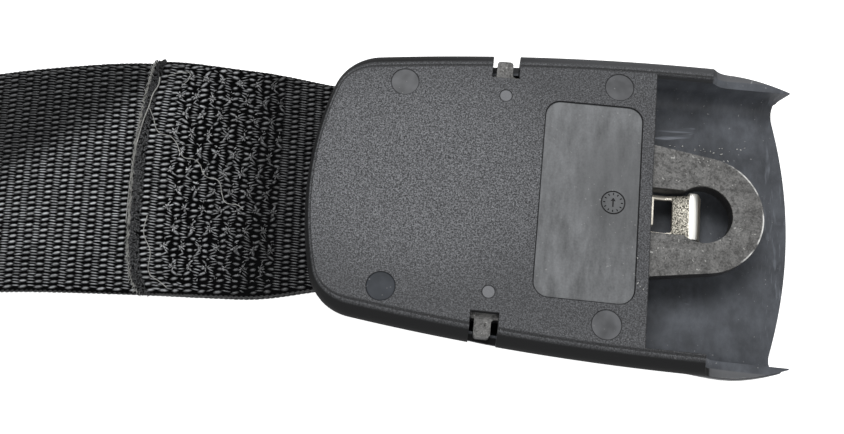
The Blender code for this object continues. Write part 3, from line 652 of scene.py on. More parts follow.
def date_dial():
    """A ring groove in the label's floor, with plain ticks inside it and a short pointer."""
    floor = COVER_TOP - LABEL_DEPTH
    low = floor - DIAL_GROOVE[1]
    outer = circle((DIAL_X, 0), DIAL_RADIUS)
    inner = circle((DIAL_X, 0), DIAL_RADIUS - DIAL_GROOVE[0])
    ring = prism("dial_ring", outer, low, floor + 0.1)
    carve(ring, [prism("dial_core", inner, low - 1, floor + 1)])
    cutters = [ring]
    for i in range(DIAL_TICKS):
        a = 2 * math.pi * i / DIAL_TICKS
        reach = Vector((math.cos(a), math.sin(a)))
        side = Vector((-reach.y, reach.x)) * DIAL_TICK_HALF_WIDTH
        near, far = (Vector((DIAL_X, 0)) + reach * (DIAL_RADIUS * share) for share in DIAL_TICK_SHARES)
        outline = [tuple(near - side), tuple(far - side), tuple(far + side), tuple(near + side)]
        cutters.append(prism(f"dial_tick_{i}", outline, low, floor + 0.1))
    pointer = [(DIAL_X + x, y) for x, y in DIAL_POINTER]
    cutters.append(prism("dial_pointer", pointer, low, floor + 0.1))
    return cutters


def ejector_marks():
    """Shallow round recesses, in pairs either side of the middle."""
    cutters = []
    for index, (x, y, radius, depth) in enumerate(EJECTOR_MARKS):
        for side in (-1, 1):
            def mark_outline(shrink, centre=(x, side * y), radius=radius):
                return circle(centre, radius - shrink, MARK_STEPS)
            cutters.append(flared_recess(f"mark_{index}_{side}", mark_outline, depth))
    return cutters


def cover_mesh():
    cover = cover_body()
    far_x = OPEN_END_X + OVERSHOOT
    cuts = [cavity(), *open_end()]
    opening_z = COVER_TOP - WALL - CAVITY_BACK_ROUND
    opening_x = (BACK_WALL_END_X, far_x)
    opening_y = (-RIM_INNER_Y, RIM_INNER_Y)
    cuts.append(flared_box("back_opening", opening_x, opening_y, opening_z, COVER_TOP, OPENING_FLARE))
    cuts.append(rim_step())
    mouth_x = (COVER_LEFT - OVERSHOOT, COVER_LEFT + MOUTH_DEPTH)
    cuts.append(prism("mouth", rectangle(mouth_x, (-MOUTH_HALF_WIDTH, MOUTH_HALF_WIDTH)), *MOUTH_Z))
    for side in (-1, 1):
        y_range = sorted((side * WINDOW_INNER_Y, side * (COVER_HALF_WIDTH + OVERSHOOT)))
        cuts.append(flared_box(f"window_{side}", WINDOW_X, y_range, WINDOW_FLOOR, COVER_TOP, WINDOW_FLARE))
    cuts.append(flared_recess("label", label_outline, LABEL_DEPTH))
    cuts += date_dial() + ejector_marks()
    return soften(carve(cover, cuts), 28)


# Anchor plate

def cavity_half_width(x, z):
    """Half the hollow's width at x and at a height on its drafted wall."""
    back = COVER_TOP - WALL - CAVITY_BACK_ROUND
    front = WALL + CAVITY_FRONT_ROUND
    lean = front_draft(x) * (back - z) / (back - front)
    return min(CAVITY_HALF_WIDTH, cover_half_width(x) - WALL - lean)


def plate_outline():
    """The plate seen from above, from the nose to the bar and back."""
    flank_angle = 90 - math.degrees(math.atan(FLANK_SLOPE))
    nose = arc((NOSE_X, 0), NOSE_RADIUS, 0, flank_angle, 40)
    tangent_x, tangent_y = nose[-1]
    fillet_x = SHOULDER_X + SHOULDER_FILLET
    fillet_y = tangent_y + FLANK_SLOPE * (tangent_x - fillet_x)
    hollow = arc((fillet_x, fillet_y + SHOULDER_FILLET), SHOULDER_FILLET, 270, 180, 10)
    half_width = WINDOW_INNER_Y + PLATE_PAST_WINDOW
    shoulder = arc((SHOULDER_X - SHOULDER_RADIUS, half_width - SHOULDER_RADIUS), SHOULDER_RADIUS, 0, 90, 8)
    root = arc((LUG_X[1] + LUG_CORNER, half_width + LUG_CORNER), LUG_CORNER, 270, 180, 4)
    right = arc((LUG_X[1] - LUG_CORNER, LUG_REACH - LUG_CORNER), LUG_CORNER, 0, 90, 5)
    left = arc((LUG_X[0] + LUG_CORNER, LUG_REACH - LUG_CORNER), LUG_CORNER, 90, 180, 5)
    lug = root + right + left + [(LUG_X[0], half_width)]
    corner_x = PLATE_LEFT + PLATE_CORNER_RADIUS
    corner_reach = min(half_width, cavity_half_width(corner_x, BAR_BOTTOM) - LAYER_GAP)
    corner_y = corner_reach - PLATE_CORNER_RADIUS
    corner = arc((corner_x, corner_y), PLATE_CORNER_RADIUS, 90, 180, 10)
    half = nose + hollow + shoulder + lug + corner
    return half + [(x, -y) for x, y in reversed(half[1:])]


def eye_outline():
    """Keyhole for the stud: a round eye that runs into a slot."""
    junction = 180 - math.degrees(math.asin(EYE_SLOT_HALF_WIDTH / EYE_RADIUS))
    return (arc((NOSE_X, 0), EYE_RADIUS, -junction, junction, 56)
            + arc((EYE_SLOT_X, 0), EYE_SLOT_HALF_WIDTH, 90, 270, 24))


def plate_mesh():
    bar_top = PLATE_TOP - JOGGLE_DROP
    top = [(NOSE_X + NOSE_RADIUS + OVERSHOOT, PLATE_TOP), (JOGGLE_X[1], PLATE_TOP), (JOGGLE_X[0], bar_top),
           (PLATE_LEFT - OVERSHOOT, bar_top)]
    bottom = [(x, z - PLATE_THICKNESS) for x, z in reversed(top)]
    reach = COVER_HALF_WIDTH + OVERSHOOT
    plate = side_prism("plate", top + bottom, -reach, reach)
    low, high = -OVERSHOOT, COVER_TOP + OVERSHOOT
    carve(plate, [prism("plate_plan", plate_outline(), low, high)], "INTERSECT")
    slot_x = (BAR_RIGHT, BAR_RIGHT + BELT_SLOT_LENGTH)
    slot = rounded_rectangle(slot_x, BELT_SLOT_HALF_WIDTH, BELT_SLOT_RADIUS)
    cuts = [prism("eye", eye_outline(), low, high), prism("belt_slot", slot, low, high)]
    head_radius, head_depth = RIVET_HEAD_HOLE
    for side in (-1, 1):
        centre = (RIVET_AT[0], side * RIVET_AT[1])
        cuts.append(prism(f"shank_{side}", circle(centre, RIVET_SHANK_HOLE), low, high))
        cuts.append(prism(f"sink_{side}", circle(centre, head_radius), PLATE_TOP - head_depth, high))
    carve(plate, cuts)
    return soften(bevel_edges(plate, PLATE_EDGE, 3), 40)


# Latch spring

def rounded_path(points, radius):
    """Straight runs through points, with each corner rounded."""
    path = [Vector(points[0])]
    for before, corner, after in zip(points, points[1:], points[2:]):
        corner = Vector(corner)
        back = (Vector(before) - corner).normalized()
        ahead = (Vector(after) - corner).normalized()
        half_angle = back.angle(ahead) / 2
        centre = corner + (back + ahead).normalized() * radius / math.sin(half_angle)
        reach = radius / math.tan(half_angle)
        first = corner + back * reach - centre
        last = corner + ahead * reach - centre
        path += [centre + first.slerp(last, i / ROUND_STEPS) for i in range(ROUND_STEPS + 1)]
    path.append(Vector(points[-1]))
    return path


def spring_plan():
    head_x = SPRING_CREST_X - SPRING_HEAD_LENGTH
    half = [
        (SPRING_CREST_X + OVERSHOOT, SPRING_HEAD_HALF_WIDTH),
        (head_x, SPRING_HEAD_HALF_WIDTH),
        (head_x - 0.5, SPRING_TONGUE_HALF_WIDTH),
        (HINGE_X + 1.5, SPRING_TONGUE_HALF_WIDTH),
        (HINGE_X, SPRING_TONGUE_HALF_WIDTH + 1.5),
        (HINGE_X, SPRING_PAD_HALF_WIDTH - 1.0),
        (HINGE_X - 1.0, SPRING_PAD_HALF_WIDTH),
        (SPRING_ROOT_X - OVERSHOOT, SPRING_PAD_HALF_WIDTH),
    ]
    return half + [(x, -y) for x, y in reversed(half)]


def spring_mesh():
    ramp_x = SPRING_CREST_X - SPRING_RAMP_LENGTH
    flat = [(SPRING_ROOT_X + i, HINGE_Z) for i in range(int(ramp_x - SPRING_ROOT_X))]
    bends = [(ramp_x, HINGE_Z), (SPRING_CREST_X, HINGE_Z + SPRING_CREST_RISE),
             (SPRING_CREST_X + SPRING_TAIL[0], HINGE_Z - SPRING_TAIL[1])]
    path = [Vector(p) for p in flat[:-2]] + rounded_path([flat[-2]] + bends, SPRING_BEND)
    bm = bmesh.new()
    half = SPRING_PAD_HALF_WIDTH + OVERSHOOT
    rows = [[bm.verts.new(put(p.x, y, p.y)) for y in (-half, half)] for p in path]
    for (a, b), (c, d) in zip(rows, rows[1:]):
        bm.faces.new((a, c, d, b))
    spring = thicken(mesh_object("spring", bm), SPRING_THICKNESS, True)
    carve(spring, [prism("spring_plan", spring_plan(), 0, COVER_TOP)], "INTERSECT")
    window = rounded_rectangle(SPRING_WINDOW_X, SPRING_WINDOW_HALF_WIDTH, SPRING_WINDOW_RADIUS)
    cuts = [prism("spring_window", window, 0, COVER_TOP)]
    for side in (-1, 1):
        hole = circle((RIVET_AT[0], side * RIVET_AT[1]), RIVET_SHANK_HOLE)
        cuts.append(prism(f"spring_hole_{side}", hole, 0, COVER_TOP))
    carve(spring, cuts)
    lip_y = SPRING_WINDOW_HALF_WIDTH - SPRING_WINDOW_RADIUS
    lip_x = (SPRING_WINDOW_X[0] - SPRING_THICKNESS, SPRING_WINDOW_X[0])
    lip = prism("spring_lip", rectangle(lip_x, (-lip_y, lip_y)), HINGE_Z, HINGE_Z + SPRING_LIP_HEIGHT)
    carve(spring, [lip], "UNION")
    return soften(bevel_edges(spring, SPRING_EDGE, 2), 35)


# Webbing

def route_point(x):
    """Y, Z and roll of the lower layer at x, from a smooth curve through the route's points."""
    route = [(px, y, BAR_MIDDLE + height, roll) for px, y, height, roll in WEB_ROUTE]
    if x >= route[-1][0]:
        return route[-1][1] * (1 - smoothstep(route[-1][0], PLATE_LEFT, x)), *route[-1][2:]
    index = max(i for i in range(len(route) - 1) if route[i][0] <= x or i == 0)
    before = route[max(0, index - 1)]
    low, high = route[index], route[index + 1]
    after = route[min(len(route) - 1, index + 2)]
    span = high[0] - low[0]
    t = (x - low[0]) / span
    values = []
    for axis in (1, 2, 3):
        slope_low = (high[axis] - before[axis]) / (high[0] - before[0]) * span
        slope_high = (after[axis] - low[axis]) / (after[0] - low[0]) * span
        values.append((2 * t ** 3 - 3 * t ** 2 + 1) * low[axis] + (t ** 3 - 2 * t ** 2 + t) * slope_low
                      + (3 * t ** 2 - 2 * t ** 3) * high[axis] + (t ** 3 - t ** 2) * slope_high)
    return tuple(values)


def layer_height(x, upper):
    """Height of a layer's middle. The layers part before the plate's bar."""
    together = route_point(x)[1] + (LAYER_LIFT if upper else 0)
    if upper:
        apart = BAR_MIDDLE + PLATE_THICKNESS / 2 + LAYER_GAP + WEB_THICKNESS / 2
    else:
        apart = BAR_BOTTOM - LAYER_GAP - WEB_THICKNESS / 2
    return together + (apart - together) * smoothstep(WEB_PARTS_X, PLATE_LEFT, x)


def web_width(x):
    """Width of the belt, which narrows where it enters the cover."""
    return WEB_WIDTH + (WEB_LOOP_WIDTH - WEB_WIDTH) * smoothstep(*WEB_NARROWS_X, x)


def web_frame(x, upper):
    """Middle of a layer at x, with its directions along, across and up."""
    before, middle, after = (Vector((at, route_point(at)[0], layer_height(at, upper)))
                             for at in (x - 0.5, x, x + 0.5))
    along = (after - before).normalized()
    roll = math.radians(route_point(x)[2])
    flat = Vector((-along.y, along.x, 0)).normalized()
    side = flat * math.cos(roll) + Vector((0, 0, math.sin(roll)))
    up = along.cross(side).normalized()
    return middle, along, side, up


def flap_draw(x, share):
    """How far the flap draws back near its cut end, at a share of the belt's half width."""
    depth, power = FLAP_UPPER_CORNER if share > 0 else FLAP_LOWER_CORNER
    return depth * abs(share) ** power * (1 - smoothstep(FLAP_END_X, FLAP_END_X + FLAP_CORNER_LENGTH, x))


def seam_middle(row):
    """How far a sewn row's middle lies across from the belt's."""
    return (row - (SEAM_ROWS - 1) / 2) * SEAM_ROW_PITCH


def needle_points():
    """Where the needle went through the belt, as row, X and distance across."""
    points = []
    count = int((SEAM_X[1] - SEAM_X[0]) / SEAM_HALF_PITCH) + 1
    for row in range(SEAM_ROWS):
        for i in range(count):
            swing = SEAM_SWING if (i + row) % 2 else -SEAM_SWING
            points.append((row, SEAM_X[0] + i * SEAM_HALF_PITCH, seam_middle(row) + swing))
    return points


def pucker(x, o, points):
    """How far the sewing draws the belt in at a point. The lower needle points are deeper."""
    if not SEAM_X[0] - 3 < x < SEAM_X[1] + 3:
        return 0.0
    deepest = 0.0
    for row, px, po in points:
        away = (x - px) ** 2 + (o - po) ** 2
        if away < 4:
            depth = PUCKER_DEPTHS[0 if po < seam_middle(row) else 1]
            deepest = max(deepest, depth * math.exp(-away / PUCKER_SPREAD))
    return deepest


def web_point(x, o, upper, lift):
    """A point of a layer, o across from its middle and lift above it."""
    middle, _, side, up = web_frame(x, upper)
    draw = flap_draw(x, 2 * o / web_width(x)) if upper else 0.0
    return middle + side * o + up * lift + Vector((draw, 0, 0))


def web_base():
    """The strip's body: along below, round the bar and back along the top. Also gives its length."""
    step = 0.8
    columns = 40
    lower_x = [WEB_END_X + step * i for i in range(int((BAR_RIGHT - WEB_END_X) / step))]
    upper_x = [BAR_RIGHT - step * (i + 1) for i in range(int((BAR_RIGHT - FLAP_END_X) / step))]
    upper_x.append(FLAP_END_X)
    low = layer_height(BAR_RIGHT, False)
    high = layer_height(BAR_RIGHT, True)
    radius = (high - low) / 2
    rows = [[web_point(x, o, False, 0) for o in spread(x, columns)] for x in lower_x]
    for x, z in arc((BAR_RIGHT, low + radius), radius, -90, 90, 16):
        y = route_point(BAR_RIGHT)[0]
        rows.append([Vector((x, y + o, z)) for o in spread(BAR_RIGHT, columns)])
    rows += [[web_point(x, o, True, 0) for o in spread(x, columns)] for x in upper_x]
    bm = bmesh.new()
    verts = [[bm.verts.new(put(*p)) for p in row] for row in rows]
    for a, b in zip(verts, verts[1:]):
        for i in range(columns):
            bm.faces.new((a[i], b[i], b[i + 1], a[i + 1]))
    web = thicken(mesh_object("webbing_body", bm), WEB_CORE_THICKNESS, False)
    length = sum((b[columns // 2] - a[columns // 2]).length for a, b in zip(rows, rows[1:]))
    return soften(web, 60), length


def spread(x, columns):
    """Even distances across the strip at x, from edge to edge."""
    half = web_width(x) / 2 - 0.25
    return [half * (2 * i / columns - 1) for i in range(columns + 1)]


def turned(along, up, yaw_deg):
    """Euler turn that lays a part along the belt with its top outwards."""
    side = up.cross(along).normalized()
    basis = Matrix((along, side, up)).transposed()
    return (basis @ Matrix.Rotation(math.radians(yaw_deg), 3, "Z")).to_euler()


def guide_points(name, rows):
    """A mesh of loose points that carry a turn and a size each."""
    mesh = bpy.data.meshes.new(name)
    mesh.from_pydata([tuple(put(*place)) for place, _, _ in rows], [], [])
    for attribute, index in (("turn", 1), ("size", 2)):
        data = mesh.attributes.new(attribute, "FLOAT_VECTOR", "POINT").data
        for item, row in zip(data, rows):
            item.vector = tuple(row[index])
    return link(name, mesh)


def grow_tree(name):
    """A tree that puts a pillow-shaped float on every point, turned and sized as the point says."""
    tree = bpy.data.node_groups.new(name, "GeometryNodeTree")
    sockets = tree.interface
    sockets.new_socket("Geometry", in_out="INPUT", socket_type="NodeSocketGeometry")
    for label, default in (("Length", 0.0022), ("Width", 0.0007), ("Height", 0.0005), ("Jitter", 0.06)):
        socket = sockets.new_socket(label, in_out="INPUT", socket_type="NodeSocketFloat")
        socket.default_value = default
    for label, default in (("Seed", 1), ("Segments", 6), ("Rings", 5)):
        socket = sockets.new_socket(label, in_out="INPUT", socket_type="NodeSocketInt")
        socket.default_value = default
    sockets.new_socket("Material", in_out="INPUT", socket_type="NodeSocketMaterial")
    sockets.new_socket("Geometry", in_out="OUTPUT", socket_type="NodeSocketGeometry")
    nodes = tree.nodes
    links = tree.links

    def add(kind, **inputs):
        node = nodes.new(kind)
        for label, value in inputs.items():
            socket = node.inputs[label.replace("_", " ")]
            if isinstance(value, bpy.types.NodeSocket):
                links.new(value, socket)
            else:
                socket.default_value = value
        return node

    def mark(geometry, name, value, domain):
        """Stores a value on the geometry for the materials to read."""
        node = nodes.new("GeometryNodeStoreNamedAttribute")
        node.data_type = "FLOAT"
        node.domain = domain
        node.inputs["Name"].default_value = name
        links.new(geometry, node.inputs["Geometry"])
        links.new(value, node.inputs["Value"])
        return node.outputs["Geometry"]

    def point_vector(name):
        """A turn or size that the guide point carries."""
        node = nodes.new("GeometryNodeInputNamedAttribute")
        node.data_type = "FLOAT_VECTOR"
        node.inputs["Name"].default_value = name
        return node.outputs["Attribute"]

    def one_and_jitter(operation):
        node = nodes.new("ShaderNodeMath")
        node.operation = operation
        node.inputs[0].default_value = 1.0
        links.new(given["Jitter"], node.inputs[1])
        return node.outputs[0]

    given = nodes.new("NodeGroupInput").outputs
    ball = add("GeometryNodeMeshUVSphere", Segments=given["Segments"], Rings=given["Rings"], Radius=0.5)
    laid = add("GeometryNodeTransform", Geometry=ball.outputs["Mesh"], Rotation=(0, math.pi / 2, 0))
    place = nodes.new("GeometryNodeInputPosition")
    height = add("ShaderNodeSeparateXYZ", Vector=place.outputs["Position"])
    crowned = mark(laid.outputs["Geometry"], "crown", height.outputs["Z"], "POINT")
    scale = add("ShaderNodeCombineXYZ", X=given["Length"], Y=given["Width"], Z=given["Height"])
    shaped = add("GeometryNodeTransform", Geometry=crowned, Scale=scale.outputs["Vector"])
    chance = nodes.new("FunctionNodeRandomValue")
    chance.data_type = "FLOAT_VECTOR"
    links.new(one_and_jitter("SUBTRACT"), chance.inputs["Min"])
    links.new(one_and_jitter("ADD"), chance.inputs["Max"])
    links.new(given["Seed"], chance.inputs["Seed"])
    scaled = nodes.new("ShaderNodeVectorMath")
    scaled.operation = "MULTIPLY"
    links.new(point_vector("size"), scaled.inputs[0])
    links.new(chance.outputs["Value"], scaled.inputs[1])
    rotation = add("FunctionNodeEulerToRotation", Euler=point_vector("turn"))
    placed = add("GeometryNodeInstanceOnPoints", Points=given["Geometry"],
                 Instance=shaped.outputs["Geometry"], Rotation=rotation.outputs["Rotation"],
                 Scale=scaled.outputs["Vector"])
    tone = nodes.new("FunctionNodeRandomValue")
    tone.data_type = "FLOAT"
    links.new(given["Seed"], tone.inputs["Seed"])
    toned = mark(placed.outputs["Instances"], "tone", tone.outputs[1], "INSTANCE")
    real = add("GeometryNodeRealizeInstances", Geometry=toned)
    smooth = add("GeometryNodeSetShadeSmooth", Geometry=real.outputs["Geometry"])
    coloured = add("GeometryNodeSetMaterial", Geometry=smooth.outputs["Geometry"],
                   Material=given["Material"])
    links.new(coloured.outputs["Geometry"], nodes.new("NodeGroupOutput").inputs[0])
    return tree


def grow(name, rows, material, size, jitter, seed, facets=(6, 5)):
    """Runs the float tree on guide points and returns one plain mesh. The size is in millimetres."""
    guide = guide_points(name + "_points", rows)
    tree = bpy.data.node_groups.get("float_on_points") or grow_tree("float_on_points")
    mod = guide.modifiers.new("grow", "NODES")
    mod.node_group = tree
    length, width, height = size
    values = {"Length": length * MM, "Width": width * MM, "Height": height * MM, "Jitter": jitter,
              "Seed": seed, "Segments": facets[0], "Rings": facets[1], "Material": material}
    for item in tree.interface.items_tree:
        if item.in_out == "INPUT" and item.name in values:
            mod[item.identifier] = values[item.name]
    mesh = evaluated_mesh(guide)
    bpy.data.objects.remove(guide, do_unlink=True)
    return link(name, mesh)


def star_at(x, o, points):
    """Direction towards the nearest upper needle point, and how strongly the yarn turns to it."""
    high = [(px - x, po - o) for row, px, po in points if po > seam_middle(row)]
    dx, do = min(high, key=lambda away: away[0] ** 2 + away[1] ** 2)
    angle = math.degrees(math.atan2(do, dx))
    folded = (angle + 90) % 180 - 90
    return folded, math.exp(-(dx ** 2 + do ** 2) / STAR_SPREAD)


def weave_rows(x_range, upper, outward, settings, needle=()):
    """Places of the weave's floats on one face of one layer. Fat floats and split ones take turns."""
    chance = random.Random(settings.seed + int(x_range[0]) * 3 + (1 if upper else 0))
    row_pitch = settings.row_pitch / MM
    column_pitch = settings.column_pitch / MM
    face = WEB_THICKNESS / 2 - 0.2
    rows = []
    for column in range(int((x_range[1] - x_range[0]) / column_pitch)):
        x = x_range[0] + (column + 0.5) * column_pitch
        half = web_width(x) / 2 - 0.35
        squeeze = web_width(x) / WEB_WIDTH
        fat = column % 2 == 0
        sewn = bool(needle) and SEAM_X[0] - 1 < x < SEAM_X[1] + 1
        count = int(WEB_WIDTH / row_pitch)
        for row in range(count):
            base = (row - (count - 1) / 2) * row_pitch + (0 if fat else row_pitch / 2)
            for split in ((0,) if fat else (-0.25, 0.25)):
                o = (base + split * row_pitch) * squeeze
                if abs(o) > half:
                    continue
                o += chance.gauss(0, 0.03)
                at = x + chance.gauss(0, 0.19 if sewn else 0.05)
                drawn = pucker(at, o, needle) if needle else 0.0
                _, along, _, up = web_frame(at, upper)
                place = web_point(at, o, upper, (face - drawn) * outward)
                yaw = (7 if fat else -5) + chance.gauss(0, 10 if sewn else 3)
                size = (1, 1, 1) if fat else (1, 0.52, 0.85)
                if sewn:
                    angle, pull = star_at(at, o, needle)
                    yaw += (angle - yaw) * pull
                    size = (chance.uniform(0.66, 1.02), size[1], size[2] * chance.uniform(0.9, 1.35))
                rows.append((place, turned(along, up * outward, yaw * outward), size))
    return rows


def edge_rows(x_range, upper, settings):
    """Floats that bind both edges of a layer."""
    chance = random.Random(settings.seed + 11)
    pitch = settings.column_pitch / MM * 0.62
    rows = []
    for index in range(int((x_range[1] - x_range[0]) / pitch)):
        x = x_range[0] + (index + 0.5) * pitch
        half = web_width(x) / 2 - 0.25
        _, along, side, _ = web_frame(x, upper)
        for edge in (-1, 1):
            for lift in (-0.22, 0.22):
                place = web_point(x, edge * half, upper, lift + chance.gauss(0, 0.03))
                rows.append((place, turned(along, side * edge, 24), (0.8, 0.8, 1)))
    return rows


def stitch_rows(upper):
    """Strands of the zigzag rows, two plies to a stitch, dipping at each needle point."""
    points = needle_points()
    outward = 1 if upper else -1
    lift = WEB_THICKNESS / 2 - (0.42 if upper else 0.0)
    rows = []
    for (row_a, xa, oa), (row_b, xb, ob) in zip(points, points[1:]):
        if row_a != row_b:
            continue
        a = web_point(xa, oa, upper, lift * outward)
        b = web_point(xb, ob, upper, lift * outward)
        along = (b - a).normalized()
        _, _, _, up = web_frame((xa + xb) / 2, upper)
        side = up.cross(along).normalized()
        true_up = along.cross(side).normalized()
        length = (b - a).length + 0.9
        for ply in (-1, 1):
            place = (a + b) / 2 + side * 0.16 * ply
            rows.append((place, turned(along, true_up * outward, 3 * ply), (length, 1, 1)))
    return rows


def tuft_rows(seed):
    """Strands that spread like a star from each upper needle point, where the thread is drawn up."""
    chance = random.Random(seed)
    rows = []
    for row, x, o in needle_points():
        high = o > seam_middle(row)
        _, along, side, up = web_frame(x, True)
        first = chance.uniform(0, 60)
        for ray in range(TUFT_RAYS if high else 2):
            yaw = math.radians(first + ray * 40 + chance.uniform(-14, 14))
            direction = along * math.cos(yaw) + side * math.sin(yaw)
            lift = WEB_THICKNESS / 2 + (chance.uniform(0.05, 0.22) if high else -0.3)
            reach = chance.uniform(0.2, 0.55)
            place = web_point(x + chance.gauss(0, 0.12), o + chance.gauss(0, 0.12), True, lift)
            tilt = (direction - up * chance.uniform(0.1, 0.45)).normalized()
            top = tilt.cross(up.cross(tilt)).normalized()
            size = (chance.uniform(0.7, 1.15), chance.uniform(0.7, 1.3), chance.uniform(0.8, 1.2))
            rows.append((place + direction * reach, turned(tilt, top, 0), size))
    return rows


def wire(name, points, radius):
    """A round strand through points of the drawing."""
    curve = bpy.data.curves.new(name, "CURVE")
    curve.dimensions = "3D"
    curve.bevel_depth = radius * MM
    curve.bevel_resolution = 1
    curve.use_fill_caps = True
    spline = curve.splines.new("BEZIER")
    spline.bezier_points.add(len(points) - 1)
    for bezier, point in zip(spline.bezier_points, points):
        bezier.co = put(*point)
        bezier.handle_left_type = "AUTO"
        bezier.handle_right_type = "AUTO"
    spline.resolution_u = 8
    obj = link(name, curve)
    mesh = evaluated_mesh(obj)
    bpy.data.objects.remove(obj, do_unlink=True)
    return link(name, mesh)


def join(name, objects):
    """One object from several plain meshes."""
    bm = bmesh.new()
    for obj in objects:
        bm.from_mesh(obj.data)
        bpy.data.objects.remove(obj, do_unlink=True)
    joined = mesh_object(name, bm)
    joined.data.shade_smooth()
    return joined


def lip_rows():
    """Lumps of melted yarn that seal the flap's cut end."""
    chance = random.Random(LIP_SEED)
    rows = []
    half = WEB_WIDTH / 2 - 0.1
    for _ in range(LIP_LUMPS):
        o = chance.uniform(-half, half)
        into = chance.uniform(0, 1) ** 1.4 * LIP_LENGTH
        edge_drop = 0.5 * (1 - min(1, into / 0.7)) ** 2
        lift = WEB_THICKNESS / 2 - 0.1 - edge_drop + chance.uniform(-0.12, 0.16)
        _, along, side, up = web_frame(FLAP_END_X + into, True)
        place = web_point(FLAP_END_X + into, o, True, lift)
        lean = (side * chance.uniform(-1, 1) + along * chance.uniform(-0.3, 1)).normalized()
        tilt = (lean + up * chance.uniform(-0.4, 0.4)).normalized()
        top = tilt.cross(up.cross(tilt)).normalized()
        rows.append((place, turned(tilt, top, 0), (chance.uniform(0.5, 1.2), chance.uniform(0.6, 1.4), 1)))
    _, along, side, _ = web_frame(FLAP_END_X, True)
    for i in range(LIP_EDGE_LUMPS):
        o = -half + 2 * half * (i + chance.uniform(0.2, 0.8)) / LIP_EDGE_LUMPS
        place = web_point(FLAP_END_X, o, True, chance.uniform(-0.6, 0.25))
        place -= along * chance.uniform(-0.1, 0.25)
        rows.append((place, turned(side, -along, chance.uniform(-30, 30)), (0.8, 1.3, 1.1)))
    return rows


def fringe_rows():
    """Fine fibres that stand out along the flap's cut end."""
    chance = random.Random(FRINGE_SEED)
    rows = []
    half = WEB_WIDTH / 2
    _, along, side, up = web_frame(FLAP_END_X, True)
    for _ in range(FRINGE_FIBRES):
        o = chance.uniform(-half, half)
        place = web_point(FLAP_END_X + 0.2, o, True, chance.uniform(-0.2, 0.75))
        place -= along * chance.uniform(0, 0.5)
        lean = side * chance.choice((-1, 1)) + along * chance.uniform(-0.7, 0.9)
        lean += up * chance.uniform(-0.3, 0.5)
        lean.normalize()
        top = lean.cross(up.cross(lean)).normalized()
        rows.append((place, turned(lean, top, 0), (chance.uniform(0.4, 1.2), 1, 1)))
    return rows


def crumb_rows():
    """Swarf and grit that lie beside the plate, on it and on the strip beside the opening."""
    chance = random.Random(CRUMB_SEED)
    rows = []
    floor_z = WALL + 0.1
    plate_z = PLATE_TOP + 0.05
    strip_z = COVER_TOP + 0.02
    spots = [(x, 17.6 - 0.05 * (x - 42) + chance.gauss(0, 0.5), floor_z, 0.8)
             for x in [42 + 12 * chance.random() for _ in range(16)]]
    spots += [(56.5, 18.3, floor_z, 1.0), (57.3, 18.2, floor_z, 0.7), (58.1, 18.7, floor_z, 1.1)]
    spots += [(chance.uniform(41.5, 43), chance.uniform(5.8, 6.6), plate_z, 0.6) for _ in range(4)]
    spots += [(46.4 + chance.gauss(0, 3.2), 11.6 + chance.gauss(0, 0.35), plate_z, 0.7) for _ in range(12)]
    spots += [(34.4, -10.9, strip_z, 0.5), (34.7, -15.9, strip_z, 0.8),
              (35.2, -16.5, strip_z, 0.6), (35.8, -17.0, strip_z, 0.9)]
    for x, y, z, size in spots:
        yaw = chance.uniform(0, 180)
        shape = (size * chance.uniform(0.7, 1.5), size * chance.uniform(0.4, 0.8), size * 0.6)
        rows.append((Vector((x, y, z)), turned(Vector((1, 0, 0)), Vector((0, 0, 1)), yaw), shape))
    return rows


# Shader maths

class Value:
    """A node socket that adds Math nodes when it is used in an expression."""

    def __init__(self, board, socket):
        self.board = board
        self.socket = socket

    def _math(self, operation, *operands):
        return self.board.add("ShaderNodeMath", {"operation": operation}, dict(enumerate(operands)))

    def __add__(self, other):
        return self._math("ADD", self, other)

    __radd__ = __add__

    def __sub__(self, other):
        return self._math("SUBTRACT", self, other)

    def __rsub__(self, other):
        return self._math("SUBTRACT", other, self)

    def __mul__(self, other):
        return self._math("MULTIPLY", self, other)

    __rmul__ = __mul__

    def above(self, edge, width):
        """0 below edge, 1 above edge + width, and smooth between."""
        return self.board.add("ShaderNodeMapRange", {"interpolation_type": "SMOOTHSTEP"},
                              {"Value": self, "From Min": edge, "From Max": edge + width})

    def size(self):
        return self._math("ABSOLUTE", self)

    def squared(self):
        return self._math("MULTIPLY", self, self)

    def root(self):
        return self._math("SQRT", self)


